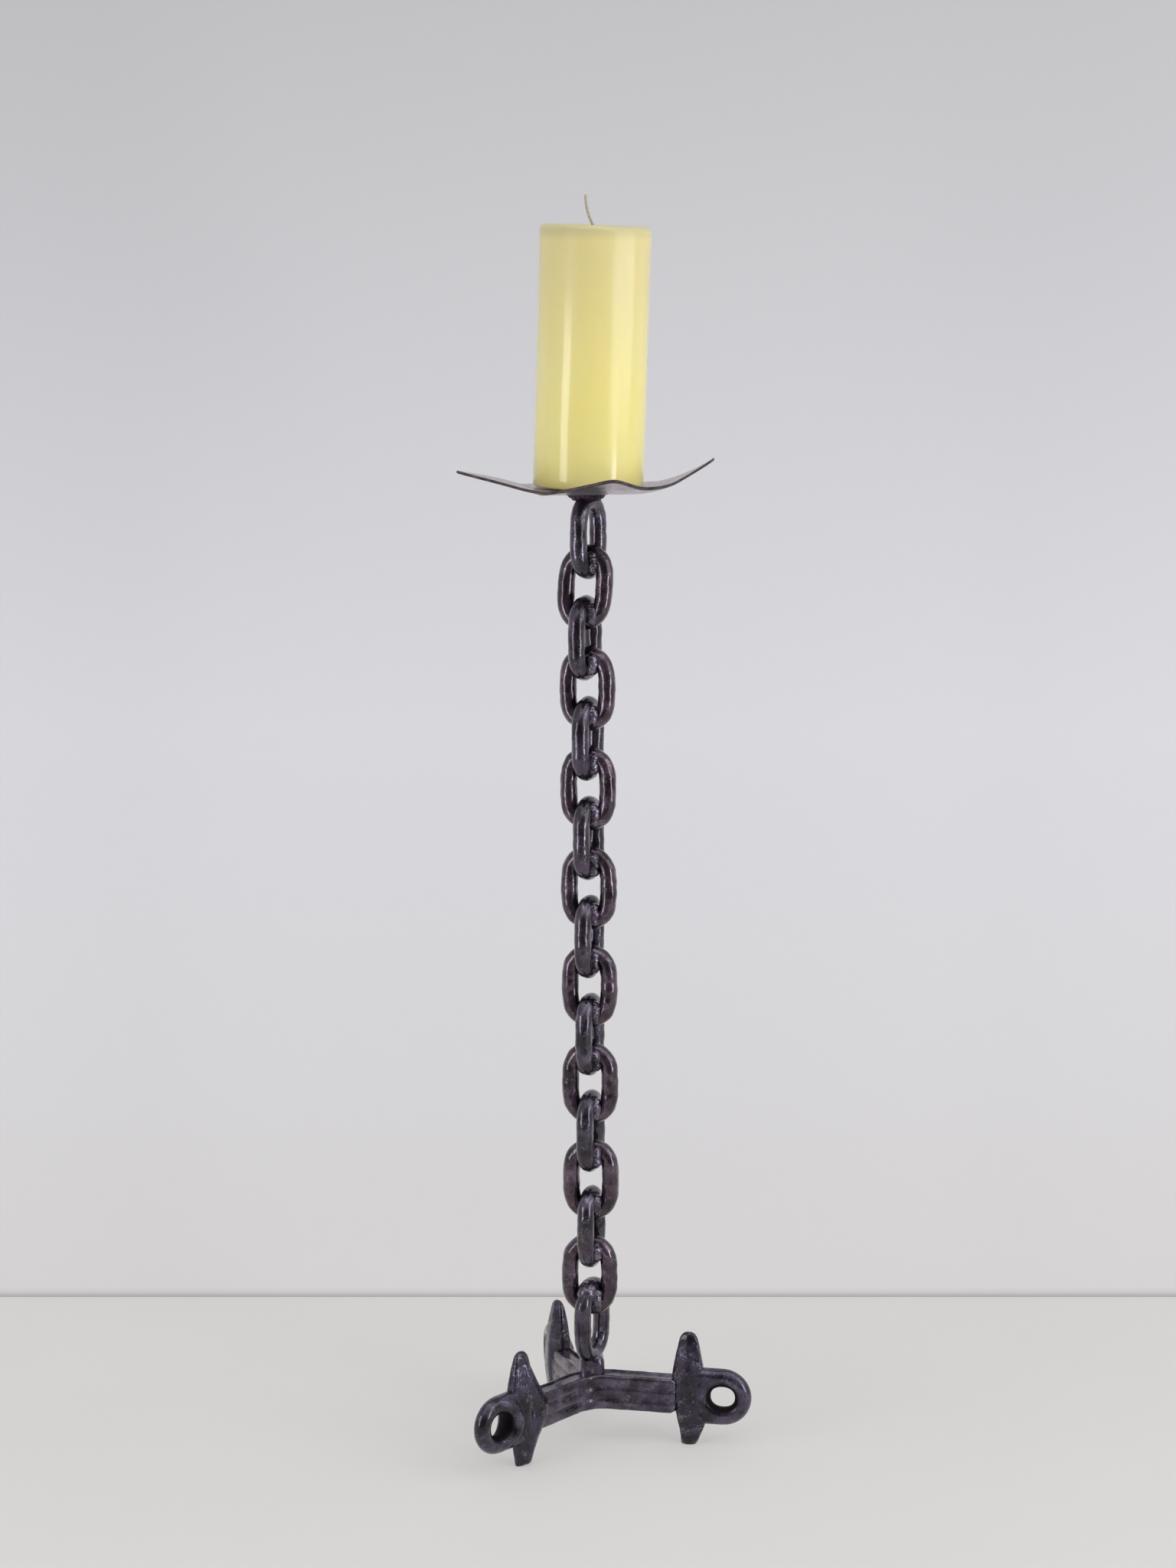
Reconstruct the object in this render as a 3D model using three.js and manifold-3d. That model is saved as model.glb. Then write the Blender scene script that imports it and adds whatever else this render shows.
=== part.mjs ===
// Floor candle holder: a column of welded chain links on three spiked feet, with a plate for a candle.
// Millimetres, +Z up. The photographed side faces -Y. The origin lies on the floor under the middle.
import * as THREE from "three";
import { mergeVertices } from "three/addons/utils/BufferGeometryUtils.js";
import Module from "manifold-3d";

const wasm = await Module();
wasm.setup();

// Clearances
const fitGap = 0.3;
const cutMargin = 5;
const mergeDistance = 1e-4;

// Chain
const linkCount = 17;
const wireDiameter = 12.2;
const linkInnerLength = 36;
const linkOuterWidth = 41;
const linkShoulder = 0.25;
const wireSides = 8;
const linkSteps = 16;
const chainTurn = degrees(19);
const endLinkTurn = degrees(28);
const columnShift = 2.3;
const leanPerLink = -0.25;

// Weld beads in the crook of each crossing
const beadDiameter = 10;
const beadLength = 13;
const beadOffset = 8;
const beadDetail = 1;

// Feet: bearing of each arm, distance of its foot from the column, and height of the arms above the floor
const rightBearing = degrees(-11);
const rightReach = 73.5;
const leftBearing = degrees(229);
const leftReach = 74;
const backBearing = degrees(112);
const backReach = 61;
const backEyeTurn = degrees(-14);
const armHeight = 37.5;

// Arms: ribbed bar with a channel along its top
const stemWidth = 16;
const stemHeight = 26;
const ribCount = 3;
const ribSteps = 4;
const grooveDepth = 1.2;
const channelWidth = 8;
const channelDepth = 1.5;

// Spikes: pointed at both ends, six-sided, blunt at the tips
const spikeRise = 47.5;
const spikeTipLength = 10.5;
const spikeTipWidth = 5;
const spikeMiddleLength = 25;
const spikeMiddleWidth = 17;
const spikeSides = 6;
const spikeLevels = 10;

// Eyes at the outer ends of the arms
const eyeBar = 12.4;
const eyeOuterDiameter = 42.5;
const eyeReach = 25.2;
const eyeSides = 8;
const eyeSteps = 20;

// Weld between the arms and the lowest link
const footWeldRise = 7.5;
const footWeldOverlap = 7;
const footWeldDiameter = 17;
const footWeldTopDiameter = 15;
const footWeldSides = 12;

// Collar between the highest link and the plate
const collarDiameter = 23;
const collarHeight = 7.5;
const collarCap = 1.7;
const collarSides = 16;

// Plate: square sheet with its corners bent, each by its own amount. Behind the candle the corner droops.
const plateDiagonal = 183;
const plateThickness = 2;
const plateTurn = degrees(11.5);
const plateCells = 16;
const plateCorner = 8;
const plateCornerSteps = 3;
const rightLift = 22;
const rightCurl = 1.6;
const rightFoldTurn = degrees(-17);
const leftLift = 13;
const leftCurl = 0.9;
const frontLift = 12.5;
const frontCurl = 1.6;
const backLift = -7;
const backCurl = 1;

// Pricket: the point on the plate that holds the candle
const pricketDiameter = 8;
const pricketPoint = 1.2;
const pricketHeight = 42;
const pricketSides = 12;

// Candle and wick
const candleDiameter = 77.5;
const candleHeight = 180;
const candleEdge = 3.5;
const candleDish = 1.5;
const candleLean = degrees(1.7);
const candleShift = 1.2;
const candleSides = 32;
const candleCurveSteps = 3;
const wickDiameter = 2.2;
const wickDepth = 18;
const wickRise = 22;
const wickBend = 5.5;
const wickShift = 2.2;
const wickSides = 8;
const wickSteps = 10;

// Colours seen in the photograph
const ironColour = 0x35302f;
const weldColour = 0x2b2627;
const sheetColour = 0x8a8288;
const waxColour = 0xd9d08c;
const wickColour = 0xcfc3bb;

// Finishes
const wornIron = { roughness: 0.45, metalness: 0.6 };
const roughIron = { roughness: 0.6, metalness: 0.6 };
const brightSheet = { roughness: 0.4, metalness: 0.8 };
const softWax = { roughness: 0.35, metalness: 0 };
const dullCotton = { roughness: 0.9, metalness: 0 };

// Heights up the column, from the floor to the candle
const linkOuterLength = linkInnerLength + 2 * wireDiameter;
const linkPitch = linkInnerLength - fitGap;
const hubTop = armHeight + stemHeight / 2;
const chainFoot = hubTop + footWeldRise;
const chainTop = chainFoot + linkOuterLength + (linkCount - 1) * linkPitch;
const plateUnderside = chainTop + fitGap + collarCap;
const plateTop = plateUnderside + plateThickness;
const candleFoot = plateTop + fitGap;
const columnTopX = linkX(linkCount - 1);

function degrees(angle) {
  return THREE.MathUtils.degToRad(angle);
}

function finish(color, look) {
  return new THREE.MeshStandardMaterial({ color, ...look });
}

const blackIron = () => finish(ironColour, wornIron);
const weldMetal = () => finish(weldColour, roughIron);
const sheetSteel = () => finish(sheetColour, brightSheet);
const paleWax = () => finish(waxColour, softWax);
const cottonWick = () => finish(wickColour, dullCotton);

// A closed three.js geometry as a solid that can be joined and cut.
function solidOf(geometry) {
  const bare = new THREE.BufferGeometry();
  bare.setAttribute("position", geometry.getAttribute("position").clone());
  bare.setIndex(geometry.index ? geometry.index.clone() : null);
  const merged = mergeVertices(bare, mergeDistance);
  const vertProperties = merged.attributes.position.array;
  const triVerts = Uint32Array.from(merged.index.array);
  return new wasm.Manifold(new wasm.Mesh({ numProp: 3, vertProperties, triVerts }));
}

function namedMesh(geometry, material, name) {
  const mesh = new THREE.Mesh(geometry, material);
  mesh.name = name;
  return mesh;
}

// The largest body of a cut solid, as a mesh: a cut can leave crumbs behind.
function cutMesh(solid, material, name) {
  const bodies = solid.decompose();
  bodies.sort((a, b) => b.volume() - a.volume());
  const { vertProperties, triVerts } = bodies[0].getMesh();
  const geometry = new THREE.BufferGeometry();
  geometry.setAttribute("position", new THREE.BufferAttribute(vertProperties, 3));
  geometry.setIndex(new THREE.BufferAttribute(triVerts, 1));
  geometry.computeVertexNormals();
  return namedMesh(geometry, material, name);
}

function moveEachPoint(geometry, move) {
  const position = geometry.getAttribute("position");
  const point = new THREE.Vector3();
  for (let i = 0; i < position.count; i++) {
    point.fromBufferAttribute(position, i);
    move(point);
    position.setXYZ(i, point.x, point.y, point.z);
  }
  geometry.computeVertexNormals();
  return geometry;
}

// Chain

// Links are counted from the bottom, starting at 0.
function linkX(i) {
  return columnShift + i * leanPerLink;
}

function linkZ(i) {
  return chainFoot + linkOuterLength / 2 + i * linkPitch;
}

// Every other link stands edge-on. The two end links are turned a little further.
function linkBearing(i) {
  const isEdgeOn = i % 2 === 0;
  const isEnd = i === 0 || i === linkCount - 1;
  const turn = isEnd ? endLinkTurn : chainTurn;
  return (isEdgeOn ? Math.PI / 2 : 0) - turn;
}

// An upright link in the XZ plane: a ring whose upper and lower halves are drawn apart, with soft shoulders.
function linkGeometry(grow = 0) {
  const ringRadius = (linkOuterWidth - wireDiameter) / 2;
  const wireRadius = wireDiameter / 2 + grow;
  const drawnApart = (linkOuterLength - linkOuterWidth) / 2;
  const fullShift = 1 / Math.hypot(1, linkShoulder);
  const ring = new THREE.TorusGeometry(ringRadius, wireRadius, wireSides, linkSteps);
  moveEachPoint(ring, (point) => {
    const rise = point.y / Math.hypot(point.x, point.y);
    point.y += (drawnApart * rise) / Math.hypot(rise, linkShoulder) / fullShift;
  });
  return ring.rotateX(Math.PI / 2);
}

function placedLink(i, grow) {
  const link = linkGeometry(grow);
  link.rotateZ(linkBearing(i));
  return link.translate(linkX(i), 0, linkZ(i));
}

function chainLink(i) {
  const link = namedMesh(linkGeometry(), blackIron(), "chain_link_" + twoDigits(i + 1));
  link.rotation.z = linkBearing(i);
  link.position.set(linkX(i), 0, linkZ(i));
  return link;
}

// The bead sits in the crook between the front leg of the edge-on link and the near side of the other.
function linkWeld(i) {
  const bead = new THREE.IcosahedronGeometry(beadDiameter / 2, beadDetail);
  bead.scale(1, 1, beadLength / beadDiameter);
  const bearing = -Math.PI / 4 - chainTurn;
  const crossingX = (linkX(i) + linkX(i + 1)) / 2;
  const crossingZ = (linkZ(i) + linkZ(i + 1)) / 2;
  bead.translate(crossingX + beadOffset * Math.cos(bearing), beadOffset * Math.sin(bearing), crossingZ);
  const lower = solidOf(placedLink(i, fitGap));
  const upper = solidOf(placedLink(i + 1, fitGap));
  const cut = solidOf(bead).subtract(lower).subtract(upper);
  return cutMesh(cut, weldMetal(), "link_weld_" + twoDigits(i + 1));
}

function twoDigits(number) {
  return String(number).padStart(2, "0");
}

// Arms: each one is built along +X with its middle line at Z = 0

// Section of the ribbed bar, as across and up, with shallow grooves between the ribs.
function stemShape(grow) {
  const halfHeight = stemHeight / 2 + grow;
  const halfChannel = channelWidth / 2 - grow;
  const sidePoints = ribCount * ribSteps;
  const side = [];
  for (let i = 0; i <= sidePoints; i++) {
    const groove = (1 + Math.cos((2 * Math.PI * i) / ribSteps)) / 2;
    const across = stemWidth / 2 + grow - grooveDepth * groove;
    side.push(new THREE.Vector2(across, halfHeight * ((2 * i) / sidePoints - 1)));
  }
  side.push(new THREE.Vector2(halfChannel, halfHeight));
  side.push(new THREE.Vector2(halfChannel - channelDepth / 2, halfHeight - channelDepth));
  const otherSide = side.map((point) => new THREE.Vector2(-point.x, point.y)).reverse();
  return new THREE.Shape([...side, ...otherSide]);
}

// The bar from behind the column to the spike, before its ends are cut.
function stemBar(reach, grow = 0) {
  const depth = reach + stemWidth;
  const bar = new THREE.ExtrudeGeometry(stemShape(grow), { depth, bevelEnabled: false });
  bar.translate(0, 0, -stemWidth);
  bar.rotateY(Math.PI / 2);
  return bar.rotateX(Math.PI / 2);
}

// The half of space on the arm's side of a seam through the column, the bearing measured from the arm.
function armSide(reach, seamBearing) {
  const size = (reach + cutMargin) * 4;
  const half = new THREE.BoxGeometry(size, size, size);
  half.translate(size / 2 + fitGap / 2, 0, 0);
  return half.rotateZ(seamBearing);
}

// The bar with its inner end cut to the seam, turned about the column.
function seamedBar(arm, grow = 0, turn = 0) {
  const bar = stemBar(arm.reach, grow).rotateZ(turn);
  const side = armSide(arm.reach, arm.seam - arm.bearing).rotateZ(turn);
  return solidOf(bar).intersect(solidOf(side));
}

// A six-sided bar that swells from both tips to the middle, with a ridge down each broad side.
function spikeGeometry(reach, grow = 0) {
  const spike = new THREE.CylinderGeometry(1, 1, 2, spikeSides, spikeLevels);
  spike.rotateX(Math.PI / 2);
  const cornerReach = Math.cos(Math.PI / spikeSides);
  moveEachPoint(spike, (point) => {
    const swell = Math.cos((point.z * Math.PI) / 2);
    const length = THREE.MathUtils.lerp(spikeTipLength, spikeMiddleLength, swell);
    const width = THREE.MathUtils.lerp(spikeTipWidth, spikeMiddleWidth, swell);
    point.x *= (length / 2 + grow) / cornerReach;
    point.y *= width / 2 + grow;
    point.z *= (point.z > 0 ? spikeRise : armHeight) + grow;
  });
  return spike.translate(reach, 0, 0);
}

// A ring in the XZ plane with two straight legs that run back to the spike.
function eyeSolid({ reach, eyeTurn }) {
  const ringRadius = (eyeOuterDiameter - eyeBar) / 2;
  const ring = new THREE.TorusGeometry(ringRadius, eyeBar / 2, eyeSides, eyeSteps);
  ring.rotateX(Math.PI / 2);
  const pieces = [ring.translate(eyeReach, 0, 0)];
  for (const side of [-1, 1]) {
    const leg = new THREE.CylinderGeometry(eyeBar / 2, eyeBar / 2, eyeReach, eyeSides);
    leg.rotateZ(Math.PI / 2);
    pieces.push(leg.translate(eyeReach / 2, 0, side * ringRadius));
  }
  const solids = pieces.map((piece) => solidOf(piece.rotateZ(eyeTurn).translate(reach, 0, 0)));
  return solids[0].add(solids[1]).add(solids[2]);
}

// The right and left arms meet in a mitre, and the back arm butts against both.
const mitre = (rightBearing + leftBearing - Math.PI) / 2;
const rightArm = { place: "right", bearing: rightBearing, reach: rightReach, seam: mitre, eyeTurn: 0 };
const leftArm = { place: "left", bearing: leftBearing, reach: leftReach, seam: mitre + Math.PI, eyeTurn: 0 };
const backArm = {
  place: "back",
  bearing: backBearing,
  reach: backReach,
  seam: backBearing,
  eyeTurn: backEyeTurn,
};
const arms = [rightArm, leftArm, backArm];

// Another arm's bar, grown by the gap, as it lies in the back arm's frame.
function roomForBar(other) {
  return seamedBar(other, fitGap, other.bearing - backBearing);
}

function armStem(arm, spikeRoom) {
  const stem = seamedBar(arm).subtract(spikeRoom);
  return arm === backArm ? stem.subtract(roomForBar(rightArm)).subtract(roomForBar(leftArm)) : stem;
}

function armGroup(arm) {
  const group = new THREE.Group();
  group.rotation.z = arm.bearing;
  group.position.z = armHeight;
  const spikeRoom = solidOf(spikeGeometry(arm.reach, fitGap));
  group.add(cutMesh(armStem(arm, spikeRoom), blackIron(), "arm_" + arm.place));
  group.add(namedMesh(spikeGeometry(arm.reach), blackIron(), "spike_" + arm.place));
  group.add(cutMesh(eyeSolid(arm).subtract(spikeRoom), blackIron(), "eye_" + arm.place));
  return group;
}

function base() {
  const group = new THREE.Group();
  arms.forEach((arm) => group.add(armGroup(arm)));
  group.add(footWeld());
  return group;
}

// The weld rises from the channels of the arms and wraps the lowest arc of the chain.
function footWeld() {
  const bottom = hubTop - channelDepth;
  const height = channelDepth + footWeldRise + footWeldOverlap;
  const topRadius = footWeldTopDiameter / 2;
  const weld = new THREE.CylinderGeometry(topRadius, footWeldDiameter / 2, height, footWeldSides);
  weld.rotateX(Math.PI / 2);
  weld.translate(linkX(0), 0, bottom + height / 2);
  let solid = solidOf(weld).subtract(solidOf(placedLink(0, fitGap)));
  for (const arm of arms) {
    const bar = stemBar(arm.reach, fitGap);
    bar.rotateZ(arm.bearing);
    solid = solid.subtract(solidOf(bar.translate(0, 0, armHeight)));
  }
  return cutMesh(solid, weldMetal(), "foot_weld");
}

// Top of the column

function collar() {
  const radius = collarDiameter / 2;
  const block = new THREE.CylinderGeometry(radius, radius, collarHeight, collarSides);
  block.rotateX(Math.PI / 2);
  block.translate(columnTopX, 0, plateUnderside - collarHeight / 2);
  const highest = solidOf(placedLink(linkCount - 1, fitGap));
  return cutMesh(solidOf(block).subtract(highest), weldMetal(), "plate_collar");
}

// How far a point of the sheet is lifted: flat under the candle, then rising towards each corner.
function sheetLift(x, y) {
  const tipReach = plateDiagonal / 2;
  const flatReach = candleDiameter / 2 + candleShift;
  const rise = (bearing, lift, curl) => {
    const reach = x * Math.cos(bearing) + y * Math.sin(bearing);
    return lift * Math.max(0, (reach - flatReach) / (tipReach - flatReach)) ** curl;
  };
  return (
    rise(rightFoldTurn, rightLift, rightCurl) +
    rise(Math.PI / 2, backLift, backCurl) +
    rise(Math.PI, leftLift, leftCurl) +
    rise(-Math.PI / 2, frontLift, frontCurl)
  );
}

// The outline of the sheet, a square with rounded corners, as a tall prism.
function sheetOutline(side) {
  const straight = side / 2 - plateCorner;
  const outline = new THREE.Shape();
  for (let i = 0; i < 4; i++) {
    const start = (i * Math.PI) / 2;
    const centre = new THREE.Vector2(straight, straight).rotateAround(new THREE.Vector2(), start);
    outline.absarc(centre.x, centre.y, plateCorner, start, start + Math.PI / 2);
  }
  const depth = plateDiagonal;
  const curveSegments = plateCornerSteps;
  const prism = new THREE.ExtrudeGeometry(outline, { depth, bevelEnabled: false, curveSegments });
  return prism.translate(0, 0, -depth / 2).rotateZ(-Math.PI / 4);
}

function candlePlate() {
  const side = plateDiagonal / Math.SQRT2 + plateCorner * (2 - Math.SQRT2);
  const sheet = new THREE.BoxGeometry(side, side, plateThickness, plateCells, plateCells, 1);
  sheet.rotateZ(-Math.PI / 4);
  moveEachPoint(sheet, (point) => {
    point.z += sheetLift(point.x, point.y);
  });
  const pieces = [sheet, sheetOutline(side)];
  const [bent, outline] = pieces.map((piece) => {
    piece.rotateZ(plateTurn);
    return solidOf(piece.translate(columnTopX, 0, plateUnderside + plateThickness / 2));
  });
  const plate = bent.intersect(outline).subtract(solidOf(candleRoom()));
  return cutMesh(plate, sheetSteel(), "candle_plate");
}

// The sheet is flat everywhere under the candle.
function candleRoom() {
  const radius = candleDiameter / 2 + fitGap;
  const room = new THREE.CylinderGeometry(radius, radius, cutMargin, candleSides);
  room.rotateX(Math.PI / 2);
  return room.translate(columnTopX + candleShift, 0, plateTop + cutMargin / 2);
}

function pricketGeometry(grow = 0) {
  const height = pricketHeight + grow;
  const point = pricketPoint / 2 + grow;
  const foot = pricketDiameter / 2 + grow;
  const pricket = new THREE.CylinderGeometry(point, foot, height, pricketSides);
  pricket.rotateX(Math.PI / 2);
  return pricket.translate(columnTopX, 0, plateTop + height / 2);
}

// Candle

// The candle leans: this carries a point from its upright frame to its place.
function leanIntoPlace(geometry) {
  geometry.rotateY(candleLean);
  return geometry.translate(columnTopX + candleShift, 0, candleFoot);
}

function candleBlank() {
  const radius = candleDiameter / 2;
  const profile = new THREE.Path();
  profile.moveTo(0, -cutMargin);
  profile.lineTo(radius, -cutMargin);
  profile.lineTo(radius, candleHeight - candleEdge);
  profile.absarc(radius - candleEdge, candleHeight - candleEdge, candleEdge, 0, Math.PI / 2);
  profile.quadraticCurveTo(radius / 2, candleHeight - candleDish, 0, candleHeight - candleDish);
  const blank = new THREE.LatheGeometry(profile.getPoints(candleCurveSteps), candleSides);
  return leanIntoPlace(blank.rotateX(Math.PI / 2));
}

// The wick stands in the wax and leans over above it.
function wickGeometry(grow = 0) {
  const top = candleHeight - candleDish;
  const foot = new THREE.Vector3(-wickShift, 0, top - wickDepth - grow);
  const surface = new THREE.Vector3(-wickShift, 0, top);
  const elbow = new THREE.Vector3(-wickShift - wickBend, 0, top + wickRise / 2);
  const tip = new THREE.Vector3(-wickShift - wickBend, 0, top + wickRise);
  const route = new THREE.CurvePath();
  route.add(new THREE.LineCurve3(foot, surface));
  route.add(new THREE.QuadraticBezierCurve3(surface, elbow, tip));
  const section = new THREE.Shape();
  section.absarc(0, 0, wickDiameter / 2 + grow, 0, 2 * Math.PI);
  const curveSegments = wickSides / 2;
  const wick = new THREE.ExtrudeGeometry(section, { steps: wickSteps, curveSegments, extrudePath: route });
  return leanIntoPlace(wick);
}

function candle() {
  const below = new THREE.BoxGeometry(candleDiameter * 2, candleDiameter * 2, cutMargin * 4);
  below.translate(columnTopX + candleShift, 0, candleFoot - cutMargin * 2);
  const body = solidOf(candleBlank())
    .subtract(solidOf(below))
    .subtract(solidOf(pricketGeometry(fitGap)))
    .subtract(solidOf(wickGeometry(fitGap)));
  const group = new THREE.Group();
  group.add(cutMesh(body, paleWax(), "candle"));
  group.add(namedMesh(wickGeometry(), cottonWick(), "candle_wick"));
  return group;
}

// Whole part

function chain() {
  const group = new THREE.Group();
  for (let i = 0; i < linkCount; i++) {
    group.add(chainLink(i));
  }
  for (let i = 0; i < linkCount - 1; i++) {
    group.add(linkWeld(i));
  }
  return group;
}

const assembly = new THREE.Group();
assembly.add(base());
assembly.add(chain());
assembly.add(collar());
assembly.add(candlePlate());
assembly.add(namedMesh(pricketGeometry(), blackIron(), "pricket"));
assembly.add(candle());

// The origin goes under the middle of the part's box.
const box = new THREE.Box3().setFromObject(assembly, true);
const middle = box.getCenter(new THREE.Vector3());
assembly.position.set(-middle.x, -middle.y, -box.min.z);

const part = new THREE.Group();
part.add(assembly);

export default part;
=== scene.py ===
"""Floor candle holder: a welded chain on three spiked feet, a plate and a candle. Metres, +Z up."""

import math
import random

import bmesh
import bpy
import numpy as np
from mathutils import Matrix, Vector, noise


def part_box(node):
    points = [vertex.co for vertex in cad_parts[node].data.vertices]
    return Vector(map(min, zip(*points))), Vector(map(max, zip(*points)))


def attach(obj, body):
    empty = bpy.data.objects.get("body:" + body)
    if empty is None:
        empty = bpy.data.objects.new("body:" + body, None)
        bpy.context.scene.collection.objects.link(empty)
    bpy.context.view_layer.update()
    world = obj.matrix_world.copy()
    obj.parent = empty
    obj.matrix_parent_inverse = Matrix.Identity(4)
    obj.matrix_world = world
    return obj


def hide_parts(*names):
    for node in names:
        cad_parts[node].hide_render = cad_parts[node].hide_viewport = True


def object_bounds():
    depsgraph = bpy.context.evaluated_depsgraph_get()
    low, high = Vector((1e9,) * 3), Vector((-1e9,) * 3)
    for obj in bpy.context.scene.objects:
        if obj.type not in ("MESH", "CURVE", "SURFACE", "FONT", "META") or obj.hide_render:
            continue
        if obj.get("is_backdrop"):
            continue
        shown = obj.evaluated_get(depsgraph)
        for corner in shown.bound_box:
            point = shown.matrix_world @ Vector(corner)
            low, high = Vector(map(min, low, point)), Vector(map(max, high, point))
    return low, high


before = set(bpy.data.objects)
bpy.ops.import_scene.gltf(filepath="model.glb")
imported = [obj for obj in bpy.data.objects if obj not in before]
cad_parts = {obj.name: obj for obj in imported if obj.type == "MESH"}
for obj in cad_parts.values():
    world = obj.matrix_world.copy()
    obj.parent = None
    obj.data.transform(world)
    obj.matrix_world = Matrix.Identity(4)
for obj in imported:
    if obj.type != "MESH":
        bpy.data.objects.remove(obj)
cad_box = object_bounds()

MM = 0.001
UP = np.array((0.0, 0.0, 1.0))


# Sizes of the chain

LINK_COUNT = 17
LINK_STEPS = 72
LINK_SIDES = 22
WIRE = 12.2 * MM
LINK_WIDTH = 41 * MM
LINK_SHOULDER = 0.25
# Measured steps per section of a link, to space them evenly
WALK_FINENESS = 40
# Lumps, here and below: their height and their fineness per metre
LINK_LUMPS = (0.4 * MM, 150)
LINK_SEED_STEP = 5.1
CHAIN_TURN = math.radians(19)
# Each link's own turn in degrees, from the lowest
LINK_TURNS = (28, 12, 17, 11, 17, 12, 18, 16, 19, 16, 21, 17, 22, 19, 24, 23, 28)
# Links that also sit aside (mm) or lean (degrees), counted from 0
LINK_SHIFTS = {1: -1.4, 14: -1.5, 15: -1.1, 16: 1.3}
LINK_LEANS = {15: 4}
COLUMN_SHIFT = 2.3 * MM

# A bead is a bowed row of drops up the crook of a crossing
BEAD_DROPS = 5
BEAD_STEP = 2.5 * MM
BEAD_REACH = 8.3 * MM
BEAD_BOW = 0.3 * MM
BEAD_STRAY = 0.7 * MM
BEAD_RADII = (3.6 * MM, 4.8 * MM)
BEAD_STRETCH = (1, 1, 0.75)
# Skins, here and below: voxel size and rounds of smoothing
BEAD_SKIN = (0.55 * MM, 2)
# The cap of weld on the lowest link
CAP_DROPS = 7
CAP_SUNK = 4.2 * MM
CAP_REACH = 8 * MM
CAP_DROOP = 2.6 * MM
CAP_RADII = (7.2 * MM, 7.7 * MM)
CAP_STRETCH = (1, 1, 0.95)


# Sizes of the base

ARM_HEIGHT = 37.5 * MM
STEM_WIDTH = 16 * MM
STEM_HEIGHT = 26 * MM
STEM_STEPS = 60
RIB_COUNT = 3
RIB_DEPTH = 1.5 * MM
RIB_POINTS = 61
CHANNEL_WIDTH = 9 * MM
CHANNEL_DEPTH = 1.5 * MM
CHANNEL_SLOPE = 1.6 * MM
CHANNEL_POINTS = 33
UNDERSIDE_POINTS = 17
SECTION_SOFTENING = 3
BEND_LENGTH = 18 * MM
BEND_START = 0.46
BEND_STEPS = 28
STEM_END = 8.7 * MM
STEM_CHAMFER = 3.4 * MM
STEM_NARROWING = 0.13
STEM_CREASE = math.radians(72)
STEM_LUMPS = (0.25 * MM, 90)
STEM_SEED = 3
BACK_STEM_START = -2 * MM

SPIKE_ROWS = 84
SPIKE_COLUMNS = 60
SPIKE_FLATS = 6
SPIKE_SHARPNESS = 14
SPIKE_TIP = (10.5 * MM, 6 * MM)
SPIKE_MIDDLE = (25 * MM, 18 * MM)
# How long the rounding of each end is, and how much it narrows
SPIKE_TOP_ROUNDING = (5 * MM, 0.72)
SPIKE_FOOT_ROUNDING = (1.4 * MM, 0.22)
SPIKE_LUMPS = (0.3 * MM, 110)
SPIKE_SKIN = (0.75 * MM, 5)
# Each spike's turn on its foot, and how far its lower half swells outward, or inward where negative
SPIKE_TURN = {"right": 0, "left": 0, "back": math.radians(12)}
SPIKE_SWELL = {"right": 2.6 * MM, "left": -3.2 * MM, "back": 0}
SWELL_FULLNESS = 0.7
# Metal that flares from a spike into its arm: outward, across and up from its middle, and radius (mm)
FLARES = {
    "right": (),
    "left": (
        (-2, 2, 36, 4.6), (-3.5, 3, 28, 6.2), (-6, 3, 20, 7.6), (-10, 3, 12, 8.6),
        (-16, 3, 4, 8.6), (-12, 3, -6, 8.4), (-7, 3, -15, 7.4), (-4, 3, -25, 6), (-2.5, 3, -32, 5),
    ),
    "back": (
        (0, -2.4, 22, 4.4), (0, -4.2, 16, 6.2), (-1, -5, 8, 8.6),
        (-3, -5.5, 0, 8.8), (-8, 2, 1, 6.5), (-8, 2, -8, 6.5),
    ),
}
FLARE_STEPS = 26
FLARE_STRETCH = (1, 0.8, 1)

EYE_STEPS = 72
EYE_SIDES = 24
EYE_BAR = 12.2 * MM
EYE_WIDTH = 42.2 * MM
EYE_REACH = 25.2 * MM
EYE_FLATTENED = 0.14
EYE_ROOT = {"right": 0.1, "left": 0.9, "back": 0.2}
EYE_TURN = {"right": 0, "left": 0, "back": math.radians(-14)}
EYE_SKIN = (0.9 * MM, 4)
LEG_STEPS = 8
LEG_SIDES = 20
# The web of metal between the eye and its spike: how far out it sits, its radius and its stretch
WEB_PLACE = 0.3
WEB_RADIUS = 10 * MM
WEB_STRETCH = (0.9, 0.72, 1.85)

STUMP_COLUMNS = 48
STUMP_ROWS = 24
STUMP_SUNK = 3 * MM
STUMP_SQUARENESS = 3
STUMP_FOOT_SHARE = 1.12
STUMP_TAPER = 0.1
STUMP_SHOULDER = 0.75
STUMP_ROUNDING = 0.5
STUMP_LUMPS = (0.9 * MM, 110)
STUMP_SEED = 5
STUMP_SKIN = (0.6 * MM, 5)
# Drops round a weld, here and below: how many, their radii and their stretch
STUMP_DROPS = (9, (2.6 * MM, 3.6 * MM), (1, 1, 0.8))
STUMP_DROP_SEED = 40
STUMP_DROP_PLACE = 0.78
STUMP_DROP_HEIGHT = 0.5 * MM


# Sizes of the top

COLLAR_DROPS = (18, (3.0 * MM, 3.6 * MM), (1, 1, 1))
COLLAR_DROP_SEED = 7
COLLAR_DROP_INSET = 1.2 * MM
COLLAR_DROP_SUNK = (2.2 * MM, 3.2 * MM)
COLLAR_CORE_RADIUS = 10.2 * MM
COLLAR_CORE_SHARES = (0.05, 0.95)
COLLAR_CORE_ROWS = 6
COLLAR_CORE_SIDES = 28
COLLAR_SKIN = (0.6 * MM, 2)

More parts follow.
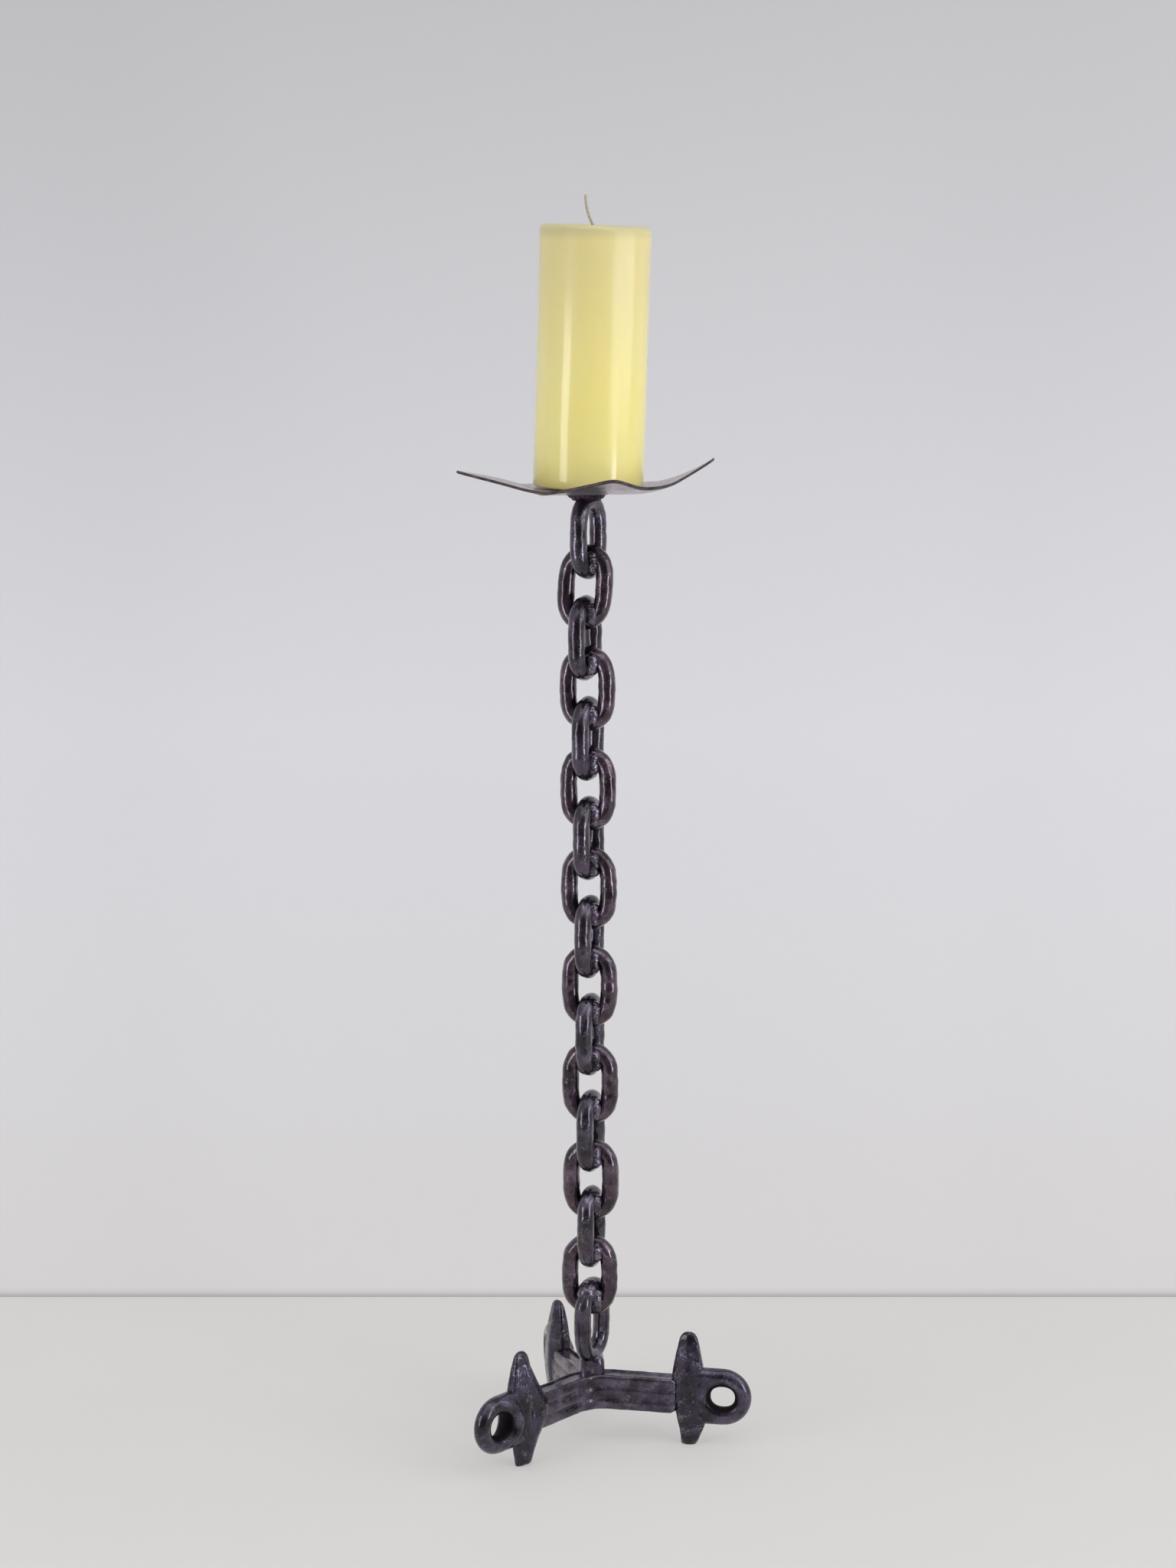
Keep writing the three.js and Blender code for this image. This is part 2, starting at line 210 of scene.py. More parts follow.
PLATE_COLUMNS = 200
PLATE_ROWS = 46
PLATE_FIRST_SHARE = 0.02
PLATE_REACH = 91.5 * MM
PLATE_HALF_SIDE = 67.05 * MM
PLATE_SQUARENESS = 19
PLATE_THICKNESS = 2 * MM
PLATE_TURN = math.radians(11.5)
PLATE_FLAT = 40 * MM
PLATE_WAVE = 0.35 * MM
PLATE_WAVE_FINENESS = 35
PLATE_WAVE_START = 20 * MM
# The rounded edge of the sheet: share of the reach and share of the half thickness
PLATE_EDGE = ((0.9955, 0.98), (0.999, 0.6), (1, 0))
# Rows of faces that show the cut edge: four round it and one underneath
PLATE_EDGE_ROWS = 5
# Each fold: bearing in the sheet, how far its corner moves, and how sharply it curls
PLATE_FOLDS = (
    (math.radians(-17), 22 * MM, 1.6),
    (math.radians(90), -7 * MM, 1.0),
    (math.radians(180), 13 * MM, 0.9),
    (math.radians(-90), 12.5 * MM, 1.6),
)

PRICKET_SIDES = 28
# The pricket from its fillet of weld to its point: share of the radius and share of the height
PRICKET_PROFILE = (
    (1, 0), (0.97, 0.02), (0.86, 0.08), (0.66, 0.3), (0.45, 0.6), (0.25, 0.86), (0.13, 0.96), (0.04, 1),
)

CANDLE_COLUMNS = 112
CANDLE_RADIUS = 38.6 * MM
CANDLE_HEIGHT = 180 * MM
CANDLE_EDGE = 3.5 * MM
CANDLE_DISH = 1.5 * MM
DISH_SHARE = 0.97
DISH_ROWS = 16
RIM_ROWS = 8
WALL_ROWS = 44
WALL_START = 6 * MM
# The rounding of the candle's foot: how far in from the wall and how high
FOOT_ROUNDING = ((1.5 * MM, 0), (0.4 * MM, 0.5 * MM), (0, 1.6 * MM))
FOOT_MIDDLE = 0.6
# The hole for the pricket, from its tip down to its flared mouth: radius and height
SOCKET_PROFILE = ((0.84 * MM, 45 * MM), (4.2 * MM, 44 * MM), (6.6 * MM, 2 * MM), (7.4 * MM, 0))
# Dents in the wall start above the foot, where the radius is over a share of the candle's
DENTS_START = 3 * MM
DENTS_SHARE = 0.9
DENTS_DEPTH = 0.2 * MM
DENTS_BIAS = 0.4
DENTS_SPREAD = 1.7
DENTS_FINENESS = 14
RIM_START = 0.9
RIM_WAVER = 0.5 * MM
RIM_WAVER_SPREAD = 1.4
RIM_WAVER_SEED = 9
RIM_SLUMP = 2.4 * MM
RIM_SLUMP_START = 0.72
RIM_SLUMP_BEARING = math.radians(-15)
CANDLE_LEAN = math.radians(1.7)
CANDLE_SHIFT = 1.2 * MM
WICK_SIDES = 18
WICK_SUNK_STEPS = 5
WICK_STEPS = 56
WICK_RADIUS = 1.05 * MM
WICK_RISE = 21.5 * MM
WICK_BEND = 6.3 * MM
WICK_SHIFT = 1.4 * MM
WICK_SUNK = 6 * MM
WICK_STRANDS = 3
WICK_TWIST = 0.28
WICK_GROOVES = 0.16
WICK_CORE = 0.88
WICK_TIP_SHARE = 0.8


# Places read from the frame


def middle(node):
    low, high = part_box(node)
    return np.array((low + high) / 2)


def top_of(node):
    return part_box(node)[1].z


def link_node(i):
    return f"chain_link_{i + 1:02d}"


HUB = middle(link_node(0)) * (1, 1, 0) - np.array((COLUMN_SHIFT, 0, 0))
COLUMN_TOP = middle(link_node(LINK_COUNT - 1)) * (1, 1, 0)
LINK_LENGTH = 2 * (top_of(link_node(0)) - middle(link_node(0))[2])
PLATE_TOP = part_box("pricket")[0].z
CANDLE_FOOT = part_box("candle")[0].z


def spike_foot(place):
    return middle("spike_" + place) * (1, 1, 0)


def bearing_of(vector):
    return math.atan2(vector[1], vector[0])


def heading(bearing):
    """The level direction of a bearing."""
    return np.array((math.cos(bearing), math.sin(bearing), 0))


# Meshes

# The increment, lacunarity and octaves of the noise behind all lumps, and what a seed shifts it by
LUMP_NOISE = (1.0, 2.0, 3)
SEED_STEP = (7.3, 3.1, 1.7)


def around(count):
    """Evenly spaced angles of a full turn."""
    return np.linspace(0, 2 * math.pi, count, endpoint=False)


def turned(points, angle):
    """The points turned about the vertical through the origin."""
    c, s = math.cos(angle), math.sin(angle)
    turn = np.array(((c, -s, 0), (s, c, 0), (0, 0, 1)))
    return points @ turn.T


def added(name, data):
    """A new object in the scene for a mesh, a camera or a lamp."""
    shown = bpy.data.objects.new(name, data)
    bpy.context.scene.collection.objects.link(shown)
    return shown


def mesh_object(name, points, faces, material):
    mesh = bpy.data.meshes.new(name)
    mesh.from_pydata([tuple(p) for p in points], [], faces)
    mesh.materials.append(material)
    return added(name, mesh)


def piece(name, points, faces, material, body, node=None):
    """A smooth mesh object that rides on a body and stands for a node of the same or the given name."""
    shown = mesh_object(name, points, faces, material)
    shown.data.shade_smooth()
    face_outward(shown.data)
    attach(shown, body)
    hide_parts(node or name)
    return shown


def face_outward(mesh):
    work = bmesh.new()
    work.from_mesh(mesh)
    bmesh.ops.recalc_face_normals(work, faces=work.faces)
    work.to_mesh(mesh)
    work.free()


def grid_faces(rows, columns, closed_rows=False):
    """Quads between rows of points, each row closed on itself."""
    faces = []
    for i in range(rows if closed_rows else rows - 1):
        for j in range(columns):
            k = (j + 1) % columns
            n = (i + 1) % rows
            faces.append((i * columns + j, i * columns + k, n * columns + k, n * columns + j))
    return faces


def loft(rings):
    """Points and faces of a closed body through rings of equal count, with a fan at each end."""
    rings = np.asarray(rings)
    rows, columns, _ = rings.shape
    points = list(rings.reshape(-1, 3))
    faces = grid_faces(rows, columns)
    for row in (0, rows - 1):
        centre = len(points)
        points.append(rings[row].mean(axis=0))
        start = row * columns
        faces += [(start + j, start + (j + 1) % columns, centre) for j in range(columns)]
    return np.array(points), faces


def level_ring(angle, reach, height):
    """Points round the vertical through the origin. The reach and the height may differ round it."""
    return np.stack((reach * np.cos(angle), reach * np.sin(angle), height + 0 * angle), axis=-1)


def squared(angle, squareness):
    """The reach of a rounded square at each angle, which is 1 in the directions of its sides."""
    return (np.abs(np.cos(angle)) ** squareness + np.abs(np.sin(angle)) ** squareness) ** (-1 / squareness)


def directions(path):
    """The direction of a path at each of its points."""
    ahead = np.gradient(path, axis=0)
    return ahead / np.linalg.norm(ahead, axis=1, keepdims=True)


def roughened(points, centre_of, lumps, seed):
    """Moves each point away from or towards its own centre by smooth noise, as forging leaves a bar."""
    amount, fineness = lumps
    offset = Vector(np.multiply(SEED_STEP, seed))
    moved = np.array(points, float)
    for i, point in enumerate(points):
        outward = point - centre_of(point)
        length = np.linalg.norm(outward)
        if length > 0:
            height = noise.fractal(Vector(point) * fineness + offset, *LUMP_NOISE)
            moved[i] += outward / length * height * amount
    return moved


def fused(name, solids, skin, material, node):
    """One skin on the holder round overlapping closed solids, given as points and faces, with soft joins."""
    points = []
    faces = []
    for solid_points, solid_faces in solids:
        start = len(points)
        points += list(solid_points)
        faces += [tuple(i + start for i in face) for face in solid_faces]
    shown = piece(name, points, faces, material, "holder", node)
    remesh = shown.modifiers.new("skin", "REMESH")
    remesh.mode = "VOXEL"
    remesh.use_smooth_shade = True
    smooth = shown.modifiers.new("soft joins", "SMOOTH")
    remesh.voxel_size, smooth.iterations = skin
    joined = bpy.data.meshes.new_from_object(shown.evaluated_get(bpy.context.evaluated_depsgraph_get()))
    shown.modifiers.clear()
    shown.data = joined


def ball(centre, radius, stretch=(1, 1, 1)):
    """Points and faces of a closed round drop."""
    work = bmesh.new()
    bmesh.ops.create_icosphere(work, subdivisions=3, radius=radius)
    points = np.array([v.co for v in work.verts]) * stretch + centre
    faces = [tuple(v.index for v in f.verts) for f in work.faces]
    work.free()
    return points, faces


def drops_round(centre, reach, drops, shake, height):
    """Drops of weld metal unevenly round a circle. The height is a function, called for each drop."""
    count, radii, stretch = drops
    solids = []
    for k in range(count):
        bearing = 2 * math.pi * (k + shake.random() * 0.5) / count
        point = centre + heading(bearing) * reach
        point[2] = height()
        solids.append(ball(point, shake.uniform(*radii), stretch))
    return solids


# Finishes of the iron

# A tint multiplies the iron's tones, and a gloss is the lowest and the highest roughness
CHAIN_TINT = (1.12, 0.94, 1.05)
# Painted shade: links seen edge-on get a darker, bluer copy of the chain iron
EDGE_ON_SHADE_TINT = (0.76, 0.76, 0.92)
EYE_TINT = (0.84, 0.85, 1.1)
SPIKE_TINT = (0.5, 0.48, 0.7)
ARM_TINT = (1.02, 1.0, 1.25)
# Painted light: the back arm gets a much lighter copy of the arm iron, for the light its upturned channel
# catches
BACK_ARM_LIT_TINT = (1.75, 1.65, 1.7)
WELD_TINT = (1.55, 1.6, 1.85)
# Partly scorch, partly painted shade: the collar under the plate gets a darker, duller copy of the iron
SCORCHED_AND_SHADED_TINT = (0.7, 0.58, 0.7)
CHAIN_GLOSS = (0.11, 0.22)
BASE_GLOSS = (0.22, 0.36)
WELD_GLOSS = (0.14, 0.3)
SCORCHED_GLOSS = (0.45, 0.65)
IRON_TONES = ((0.38, (0.016, 0.01, 0.016)), (0.51, (0.058, 0.043, 0.059)), (0.64, (0.12, 0.096, 0.124)))
RUST_TONE = (0.09, 0.045, 0.04)
PIT_TONE = (0.012, 0.008, 0.012)
SCRAPED_TONE = (0.4, 0.4, 0.46)
# Painted shade in the eye holes: its near-black tone, the distances from each centre over which it fades
# out, how much it covers, and the duller roughness there
EYE_HOLE_SHADE_TONE = (0.008, 0.005, 0.007)
EYE_HOLE_SHADE_REACH = (11 * MM, 15.2 * MM)
EYE_HOLE_SHADE_COVER = 0.92
EYE_HOLE_DULL_ROUGHNESS = 0.7
# Grain, here and below: how fine each layer of a pattern is, per metre
IRON_GRAIN = {"tone": 75, "rust": 65, "pits": 700, "scrapes": 900, "worn": 140, "gloss": 240, "dents": 150}
# Where noise turns into rust, pits and scrapes, and how much the first two cover
RUST_EDGE = (0.55, 0.7)
RUST_COVER = 0.5
PIT_EDGE = (0.55, 0.66)
PIT_COVER = 0.75
PIT_DEPTH = 0.25
SCRAPE_EDGE = (0.3, 0.4)


# Finishes of the sheet, the wax and the wick

SHEET_TONES = ((0.3, (0.33, 0.28, 0.29)), (0.7, (0.5, 0.44, 0.46)))
SHEET_GRIME_TONE = (0.16, 0.12, 0.115)
SHEET_GRIME_EDGE = (0.55, 0.75)
SHEET_GRIME_COVER = 0.45
SHEET_GRAIN = {"tone": 28, "grime": 130, "soot_and_shade": 90, "gloss": 180, "dents": 220}
SHEET_GLOSS = (0.18, 0.34)
SHEET_METAL = 0.8
# A dark patch under the sheet in front of the collar, partly soot and partly painted shade: its tone, how
# far ahead of the column it lies, its stretch, the distances over which it fades out, its cover and how
# ragged its edge is
SOOT_AND_SHADE_TONE = (0.02, 0.014, 0.018)
SOOT_AND_SHADE_AHEAD = 40 * MM
SOOT_AND_SHADE_STRETCH = (1, 0.2, 0.001)
SOOT_AND_SHADE_REACH = (10 * MM, 19 * MM)
SOOT_AND_SHADE_COVER = 0.9
SOOT_AND_SHADE_RAGGED = 4 * MM
# The upright part of the surface's direction, where it counts as the underside
UNDERSIDE = (-0.6, -0.1)
EDGE_TONES = ((0.35, (0.03, 0.022, 0.024)), (0.7, (0.12, 0.095, 0.098)))
EDGE_GLOSS = (0.35, 0.55)
EDGE_GRAIN = {"tone": 200, "gloss": 400}

WAX_TONES = ((0.3, (0.93, 0.805, 0.255)), (0.7, (0.96, 0.85, 0.315)))
WAX_BLOOM_TONE = (0.9, 0.84, 0.52)
# Painted shade: the wax turns darker and greyer towards the top
WAX_TOP_SHADE_TONE = (0.8, 0.69, 0.33)
# Painted shade: a darker band just under the rim
WAX_RIM_SHADE_TONE = (0.54, 0.51, 0.31)
WAX_GRAIN = {"tone": 24, "bloom": 30, "gloss": 60, "dents": 36, "skin": 300, "pitting": 30}
# The layers that are drawn out in height
WAX_STRETCH = {"tone": (1, 1, 0.35), "bloom": (1, 1, 0.5), "gloss": (1, 1, 0.3), "dents": (1, 1, 0.5)}
# Where noise turns into bloom and into pitting
WAX_PATCH_EDGE = (0.4, 0.8)
WAX_BLOOM_COVER = 0.3
WAX_TOP_SHADE_COVER = 0.85
WAX_RIM_SHADE_COVER = 0.6
# Heights above the candle's foot or below its rim between which each change comes in
WAX_TOP_SHADE_HEIGHTS = (40 * MM, 178 * MM)
WAX_RIM_SHADE_DEPTHS = (12 * MM, 3 * MM)
WAX_COAT_DEPTHS = (22 * MM, 6 * MM)
WAX_COAT = (0.95, 0.4)
WAX_GLOSS = (0.32, 0.44)
WAX_PITTING = (0.02, 0.06)
WICK_TONES = ((0.3, (0.42, 0.36, 0.3)), (0.7, (0.66, 0.59, 0.52)))
WICK_GRAIN = {"tone": 900, "fibres": 2500}

# Noise mostly lies between these
NOISE_SPREAD = (0.3, 0.7)
# Where a Mix node keeps its colours and their result
MIX_INPUTS = slice(6, 8)
MIX_OUTPUT = 2


def set_inputs(node, values):
    """Sets a node's inputs by their labels, written small and with underscores."""
    for name, value in values.items():
        node.inputs[name.replace("_", " ").title().replace("Ior", "IOR")].default_value = value


class Look:
    """A Principled material and the nodes that drive it. Keywords set the shader's own inputs."""

    def __init__(self, name, **values):
        self.material = bpy.data.materials.new(name)
        self.material.use_nodes = True
        self.tree = self.material.node_tree
        self.shader = self.tree.nodes["Principled BSDF"]
        self.place = self.node("TexCoord").outputs["Object"]
        set_inputs(self.shader, values)

    def node(self, kind, **values):
        made = self.tree.nodes.new("ShaderNode" + kind)
        set_inputs(made, values)
        return made

    def link(self, out, into):
        self.tree.links.new(out, into)

    def drive(self, socket, out):
        """Feeds one of the shader's inputs, for what varies over the surface."""
        self.link(out, self.shader.inputs[socket])

    def noise(self, scale, detail=4, roughness=0.55, stretch=None):
        node = self.node("TexNoise", scale=scale, detail=detail, roughness=roughness)
        self.link(self.stretched(stretch) if stretch else self.place, node.inputs["Vector"])
        return node.outputs["Fac"]

    def stretched(self, amounts):
        node = self.node("VectorMath")
        node.operation = "MULTIPLY"
        node.inputs[1].default_value = amounts
        self.link(self.place, node.inputs[0])
        return node.outputs["Vector"]

    def ramp(self, value, *stops):
        """A colour ramp with (position, colour) stops."""
        node = self.node("ValToRGB")
        elements = node.color_ramp.elements
        while len(elements) < len(stops):
            elements.new(1)
        for element, (position, color) in zip(elements, stops):
            element.position = position
            element.color = (*color, 1)
        self.link(value, node.inputs["Fac"])
        return node.outputs["Color"]

    def fade(self, value, low, high, start=0.0, end=1.0, kind="SMOOTHSTEP"):
        """The value carried from low..high to start..end and held at both ends."""
        node = self.node("MapRange", from_min=low, from_max=high, to_min=start, to_max=end)
        node.interpolation_type = kind
        self.link(value, node.inputs["Value"])
        return node.outputs["Result"]

    def varied(self, value, start, end):
        """Noise carried to start..end."""
        return self.fade(value, *NOISE_SPREAD, start, end)

    def combine(self, operation, first, second):
        node = self.node("Math")
        node.operation = operation
        for socket, value in zip(node.inputs, (first, second)):
            if isinstance(value, (int, float)):
                socket.default_value = value
            else:
                self.link(value, socket)
        return node.outputs["Value"]

    def mix(self, factor, first, second):
        """The first colour turned into the second by the factor."""
        node = self.node("Mix")
        node.data_type = "RGBA"
        self.link(factor, node.inputs["Factor"])
        for socket, color in zip(node.inputs[MIX_INPUTS], (first, second)):
            if isinstance(color, tuple):
                socket.default_value = (*color, 1)
            else:
                self.link(color, socket)
        return node.outputs[MIX_OUTPUT]

    def blend(self, factor, first, second):
        """The first shader turned into the second by the factor."""
        node = self.node("MixShader")
        for socket, out in zip(node.inputs, (factor, first, second)):
            self.link(out, socket)
        return node.outputs[0]

    def part(self, out, axis):
        """One of X, Y and Z of a vector."""
        split = self.node("SeparateXYZ")
        self.link(out, split.inputs[0])
        return split.outputs[axis]

    def facing_up(self):
        """The upright part of the surface's direction, from -1 to 1."""
        return self.part(self.node("NewGeometry").outputs["Normal"], "Z")

    def height(self):
        return self.part(self.place, "Z")

    def distance_from(self, point, stretch=(1, 1, 1)):
        node = self.node("VectorMath")
        node.operation = "DISTANCE"
        self.link(self.stretched(stretch), node.inputs[0])
        node.inputs[1].default_value = tuple(np.array(point) * stretch)
        return node.outputs["Value"]

    def finish(self, color, roughness=None, height=None, depth=None):
        """Drives the colour, the roughness and a bump of the given depth, and gives the material."""
        self.drive("Base Color", color)
        if roughness is not None:
            self.drive("Roughness", roughness)
        if height is not None:
            bump = self.node("Bump", distance=depth)
            self.link(height, bump.inputs["Height"])
            self.drive("Normal", bump.outputs["Normal"])
        return self.material


def iron_look(name, tint, gloss, bump=0.35 * MM, bare=0.25, coat=0.7, shade_holes_at=()):
    """Black iron under a worn finish: plum-black, browner in patches, lightly pitted and half glossy."""
    look = Look(name, metallic=0.9, coat_weight=coat, coat_roughness=0.12)
    stops = [(position, tuple(np.multiply(tone, tint))) for position, tone in IRON_TONES]
    colour = look.ramp(look.noise(IRON_GRAIN["tone"]), *stops)
    rusty = look.fade(look.noise(IRON_GRAIN["rust"], detail=6), *RUST_EDGE, 0, RUST_COVER)
    colour = look.mix(rusty, colour, tuple(np.multiply(RUST_TONE, tint)))
    pits = look.fade(look.noise(IRON_GRAIN["pits"], detail=3, roughness=0.6), *PIT_EDGE)
    colour = look.mix(look.combine("MULTIPLY", pits, PIT_COVER), colour, PIT_TONE)
    scrapes = look.noise(IRON_GRAIN["scrapes"], detail=2)
    scraped = look.combine("MULTIPLY", scrapes, look.noise(IRON_GRAIN["worn"], detail=2))
    colour = look.mix(look.fade(scraped, *SCRAPE_EDGE, 0, bare), colour, SCRAPED_TONE)
    rough = look.varied(look.noise(IRON_GRAIN["gloss"]), *gloss)
    # Painted shade in the holes round the given centres, with duller iron there
    if shade_holes_at:
        colour, rough = shaded_and_dulled(look, colour, rough, coat, shade_holes_at)
    dents = look.combine("MULTIPLY", pits, -PIT_DEPTH)
    height = look.combine("ADD", look.noise(IRON_GRAIN["dents"], detail=3), dents)
    return look.finish(colour, rough, height, depth=bump)


def shaded_and_dulled(look, colour, rough, coat, centres):
    """Painted shade round each centre, which darkens the colour there, and duller iron there, where the coat
    fades out and the roughness rises. Gives the new colour and roughness.
    """
    nearest = look.distance_from(centres[0])
    for centre in centres[1:]:
        nearest = look.combine("MINIMUM", nearest, look.distance_from(centre))
    look.drive("Coat Weight", look.fade(nearest, *EYE_HOLE_SHADE_REACH, 0, coat))
    colour = look.mix(look.fade(nearest, *EYE_HOLE_SHADE_REACH, EYE_HOLE_SHADE_COVER, 0), colour, EYE_HOLE_SHADE_TONE)
    return colour, look.combine("MAXIMUM", rough, look.fade(nearest, *EYE_HOLE_SHADE_REACH, EYE_HOLE_DULL_ROUGHNESS, 0))


def sheet_look():
    """Thin steel sheet: a satin grey-mauve with grime, and a dull dark patch underneath in front of the
    collar, partly soot and partly painted shade under the plate.
    """
    look = Look("plate steel")
    colour = look.ramp(look.noise(SHEET_GRAIN["tone"]), *SHEET_TONES)
    grime = look.noise(SHEET_GRAIN["grime"], detail=6)
    grime = look.fade(grime, *SHEET_GRIME_EDGE, 0, SHEET_GRIME_COVER)
    colour = look.mix(grime, colour, SHEET_GRIME_TONE)
    # Partly soot, partly painted shade under the plate, and dull there
    soot_and_shade_centre = (COLUMN_TOP[0], COLUMN_TOP[1] - SOOT_AND_SHADE_AHEAD, PLATE_TOP)
    ragged = look.varied(look.noise(SHEET_GRAIN["soot_and_shade"]), 0, SOOT_AND_SHADE_RAGGED)
    away = look.combine("ADD", look.distance_from(soot_and_shade_centre, SOOT_AND_SHADE_STRETCH), ragged)
    underside = look.fade(look.facing_up(), *UNDERSIDE, 1, 0)
    soot_and_shade = look.combine("MULTIPLY", look.fade(away, *SOOT_AND_SHADE_REACH, SOOT_AND_SHADE_COVER, 0), underside)
    colour = look.mix(soot_and_shade, colour, SOOT_AND_SHADE_TONE)
    look.drive("Metallic", look.fade(soot_and_shade, 0, SOOT_AND_SHADE_COVER, SHEET_METAL, 0))
    dull = look.fade(soot_and_shade, 0, SOOT_AND_SHADE_COVER, 0, 1)
    rough = look.combine("MAXIMUM", look.varied(look.noise(SHEET_GRAIN["gloss"]), *SHEET_GLOSS), dull)
    return look.finish(colour, rough, look.noise(SHEET_GRAIN["dents"], detail=6), depth=0.2 * MM)


def sheet_edge_look():
    """The cut edge of the sheet, darkened with age."""
    look = Look("plate edge", metallic=0.6)
    colour = look.ramp(look.noise(EDGE_GRAIN["tone"]), *EDGE_TONES)
    return look.finish(colour, look.varied(look.noise(EDGE_GRAIN["gloss"]), *EDGE_GLOSS))


def wax_look():
    """Pale yellow wax: light travels in it, and its glossy skin is clouded and faintly dented. Painted shade
    makes it darker and greyer towards the top, and darker still just under the rim.
    """
    look = Look(
        "wax",
        subsurface_weight=0.35,
        subsurface_scale=0.01,
        subsurface_radius=(1.0, 0.75, 0.3),
        specular_ior_level=0.3,
        coat_roughness=0.11,
    )

    def layer(name, detail=4):
        return look.noise(WAX_GRAIN[name], detail, stretch=WAX_STRETCH.get(name))

    colour = look.ramp(layer("tone"), *WAX_TONES)
    bloom = look.fade(layer("bloom", detail=2), *WAX_PATCH_EDGE, 0, WAX_BLOOM_COVER)
    colour = look.mix(bloom, colour, WAX_BLOOM_TONE)
    # Painted shade: darker and greyer towards the top
    low, high = (CANDLE_FOOT + height for height in WAX_TOP_SHADE_HEIGHTS)
    colour = look.mix(look.fade(look.height(), low, high, 0, WAX_TOP_SHADE_COVER), colour, WAX_TOP_SHADE_TONE)
    rim = CANDLE_FOOT + CANDLE_HEIGHT
    # Painted shade: darker just under the rim
    low, high = (rim - depth for depth in WAX_RIM_SHADE_DEPTHS)
    colour = look.mix(look.fade(look.height(), low, high, 0, WAX_RIM_SHADE_COVER), colour, WAX_RIM_SHADE_TONE)
    low, high = (rim - depth for depth in WAX_COAT_DEPTHS)
    look.drive("Coat Weight", look.fade(look.height(), low, high, *WAX_COAT))
    pitted = look.fade(layer("pitting", detail=2), *WAX_PATCH_EDGE, *WAX_PITTING)
    skin = look.combine("MULTIPLY", layer("skin"), pitted)
    height = look.combine("ADD", layer("dents", detail=2), skin)
    return look.finish(colour, look.varied(layer("gloss"), *WAX_GLOSS), height, depth=0.9 * MM)


def wick_look():
    """Waxed cotton cord."""
    look = Look("wick cotton", roughness=0.85, sheen_weight=0.3)
    colour = look.ramp(look.noise(WICK_GRAIN["tone"]), *WICK_TONES)
    return look.finish(colour, height=look.noise(WICK_GRAIN["fibres"]), depth=0.3 * MM)


# The chain


def link_bearing(i):
    return (math.pi / 2 if i % 2 == 0 else 0) - math.radians(LINK_TURNS[i])


def drawn_apart(x, z, amount):
    """Raises the upper half of a ring and lowers the lower half, with soft shoulders."""
    rise = z / np.hypot(x, z)
    return z + amount * rise * math.hypot(1, LINK_SHOULDER) / np.hypot(rise, LINK_SHOULDER)


def link_points():
    """An upright link round the origin in the XZ plane, evenly sectioned, and the middle of its wire."""
    ring = (LINK_WIDTH - WIRE) / 2
    stretch = (LINK_LENGTH - LINK_WIDTH) / 2
    turn = np.linspace(0, 2 * math.pi, WALK_FINENESS * LINK_STEPS)
    x, z = ring * np.cos(turn), ring * np.sin(turn)
    step = np.hypot(np.diff(x), np.diff(drawn_apart(x, z, stretch)))
    length = np.concatenate(([0], np.cumsum(step)))
    turn = np.interp(np.linspace(0, length[-1], LINK_STEPS, endpoint=False), length, turn)
    turn, side = np.meshgrid(turn, around(LINK_SIDES), indexing="ij")
    reach = ring + WIRE / 2 * np.cos(side)
    x, y, z = reach * np.cos(turn), WIRE / 2 * np.sin(side), reach * np.sin(turn)
    points = np.stack((x, y, drawn_apart(x, z, stretch)), axis=-1)
    x, z = ring * np.cos(turn), ring * np.sin(turn)
    wire = np.stack((x, 0 * turn, drawn_apart(x, z, stretch)), axis=-1)
    return points.reshape(-1, 3), wire.reshape(-1, 3)


def chain_link(i, material):
    points, wire = link_points()
    outward = (points - wire) / (WIRE / 2)
    amount, fineness = LINK_LUMPS
    offset = Vector((i * LINK_SEED_STEP, 0, 0))
    lumps = np.array([noise.fractal(Vector(p) * fineness + offset, *LUMP_NOISE) for p in points])
    points = turned(points + outward * lumps[:, None] * amount, link_bearing(i))
    points[:, 0] += LINK_SHIFTS.get(i, 0) * MM
    points[:, 0] += points[:, 2] * math.tan(math.radians(LINK_LEANS.get(i, 0)))
    points += middle(link_node(i))
    faces = grid_faces(LINK_STEPS, LINK_SIDES, closed_rows=True)
    piece(f"link_{i + 1:02d}", points, faces, material, "holder", link_node(i))


def weld_bead(i, material):
    """Drops of weld metal run together in the crook of a crossing, and a cap of them on the lowest link."""
    shake = random.Random(i)
    crossing = (middle(link_node(i)) + middle(link_node(i + 1))) / 2
    crook = heading(-math.pi / 4 - CHAIN_TURN)
    solids = []
    for step in range(BEAD_DROPS):
        rank = step - BEAD_DROPS // 2
        stray = np.array([shake.uniform(-1, 1) for _ in range(3)]) * BEAD_STRAY
        centre = crossing + crook * (BEAD_REACH - BEAD_BOW * rank**2) + UP * rank * BEAD_STEP + stray
        solids.append(ball(centre, shake.uniform(*BEAD_RADII), BEAD_STRETCH))
    if i == 0:
        solids += weld_cap(shake)
    fused(f"bead_{i + 1:02d}", solids, BEAD_SKIN, material, f"link_weld_{i + 1:02d}")


def weld_cap(shake):
    """Drops that follow the arc of the lowest link's top."""
    top = middle(link_node(0)) + UP * (LINK_LENGTH / 2 - CAP_SUNK)
    along = heading(link_bearing(0))
    return [
        ball(top + along * t * CAP_REACH - UP * t * t * CAP_DROOP, shake.uniform(*CAP_RADII), CAP_STRETCH)
        for t in np.linspace(-1, 1, CAP_DROPS)
    ]


# The base


def at_foot(solids, place, bearing):
    """Solids carried from round the origin to a foot, up to the arms' height and turned to a bearing."""
    here = spike_foot(place) + UP * ARM_HEIGHT
    return [(turned(points, bearing) + here, faces) for points, faces in solids]


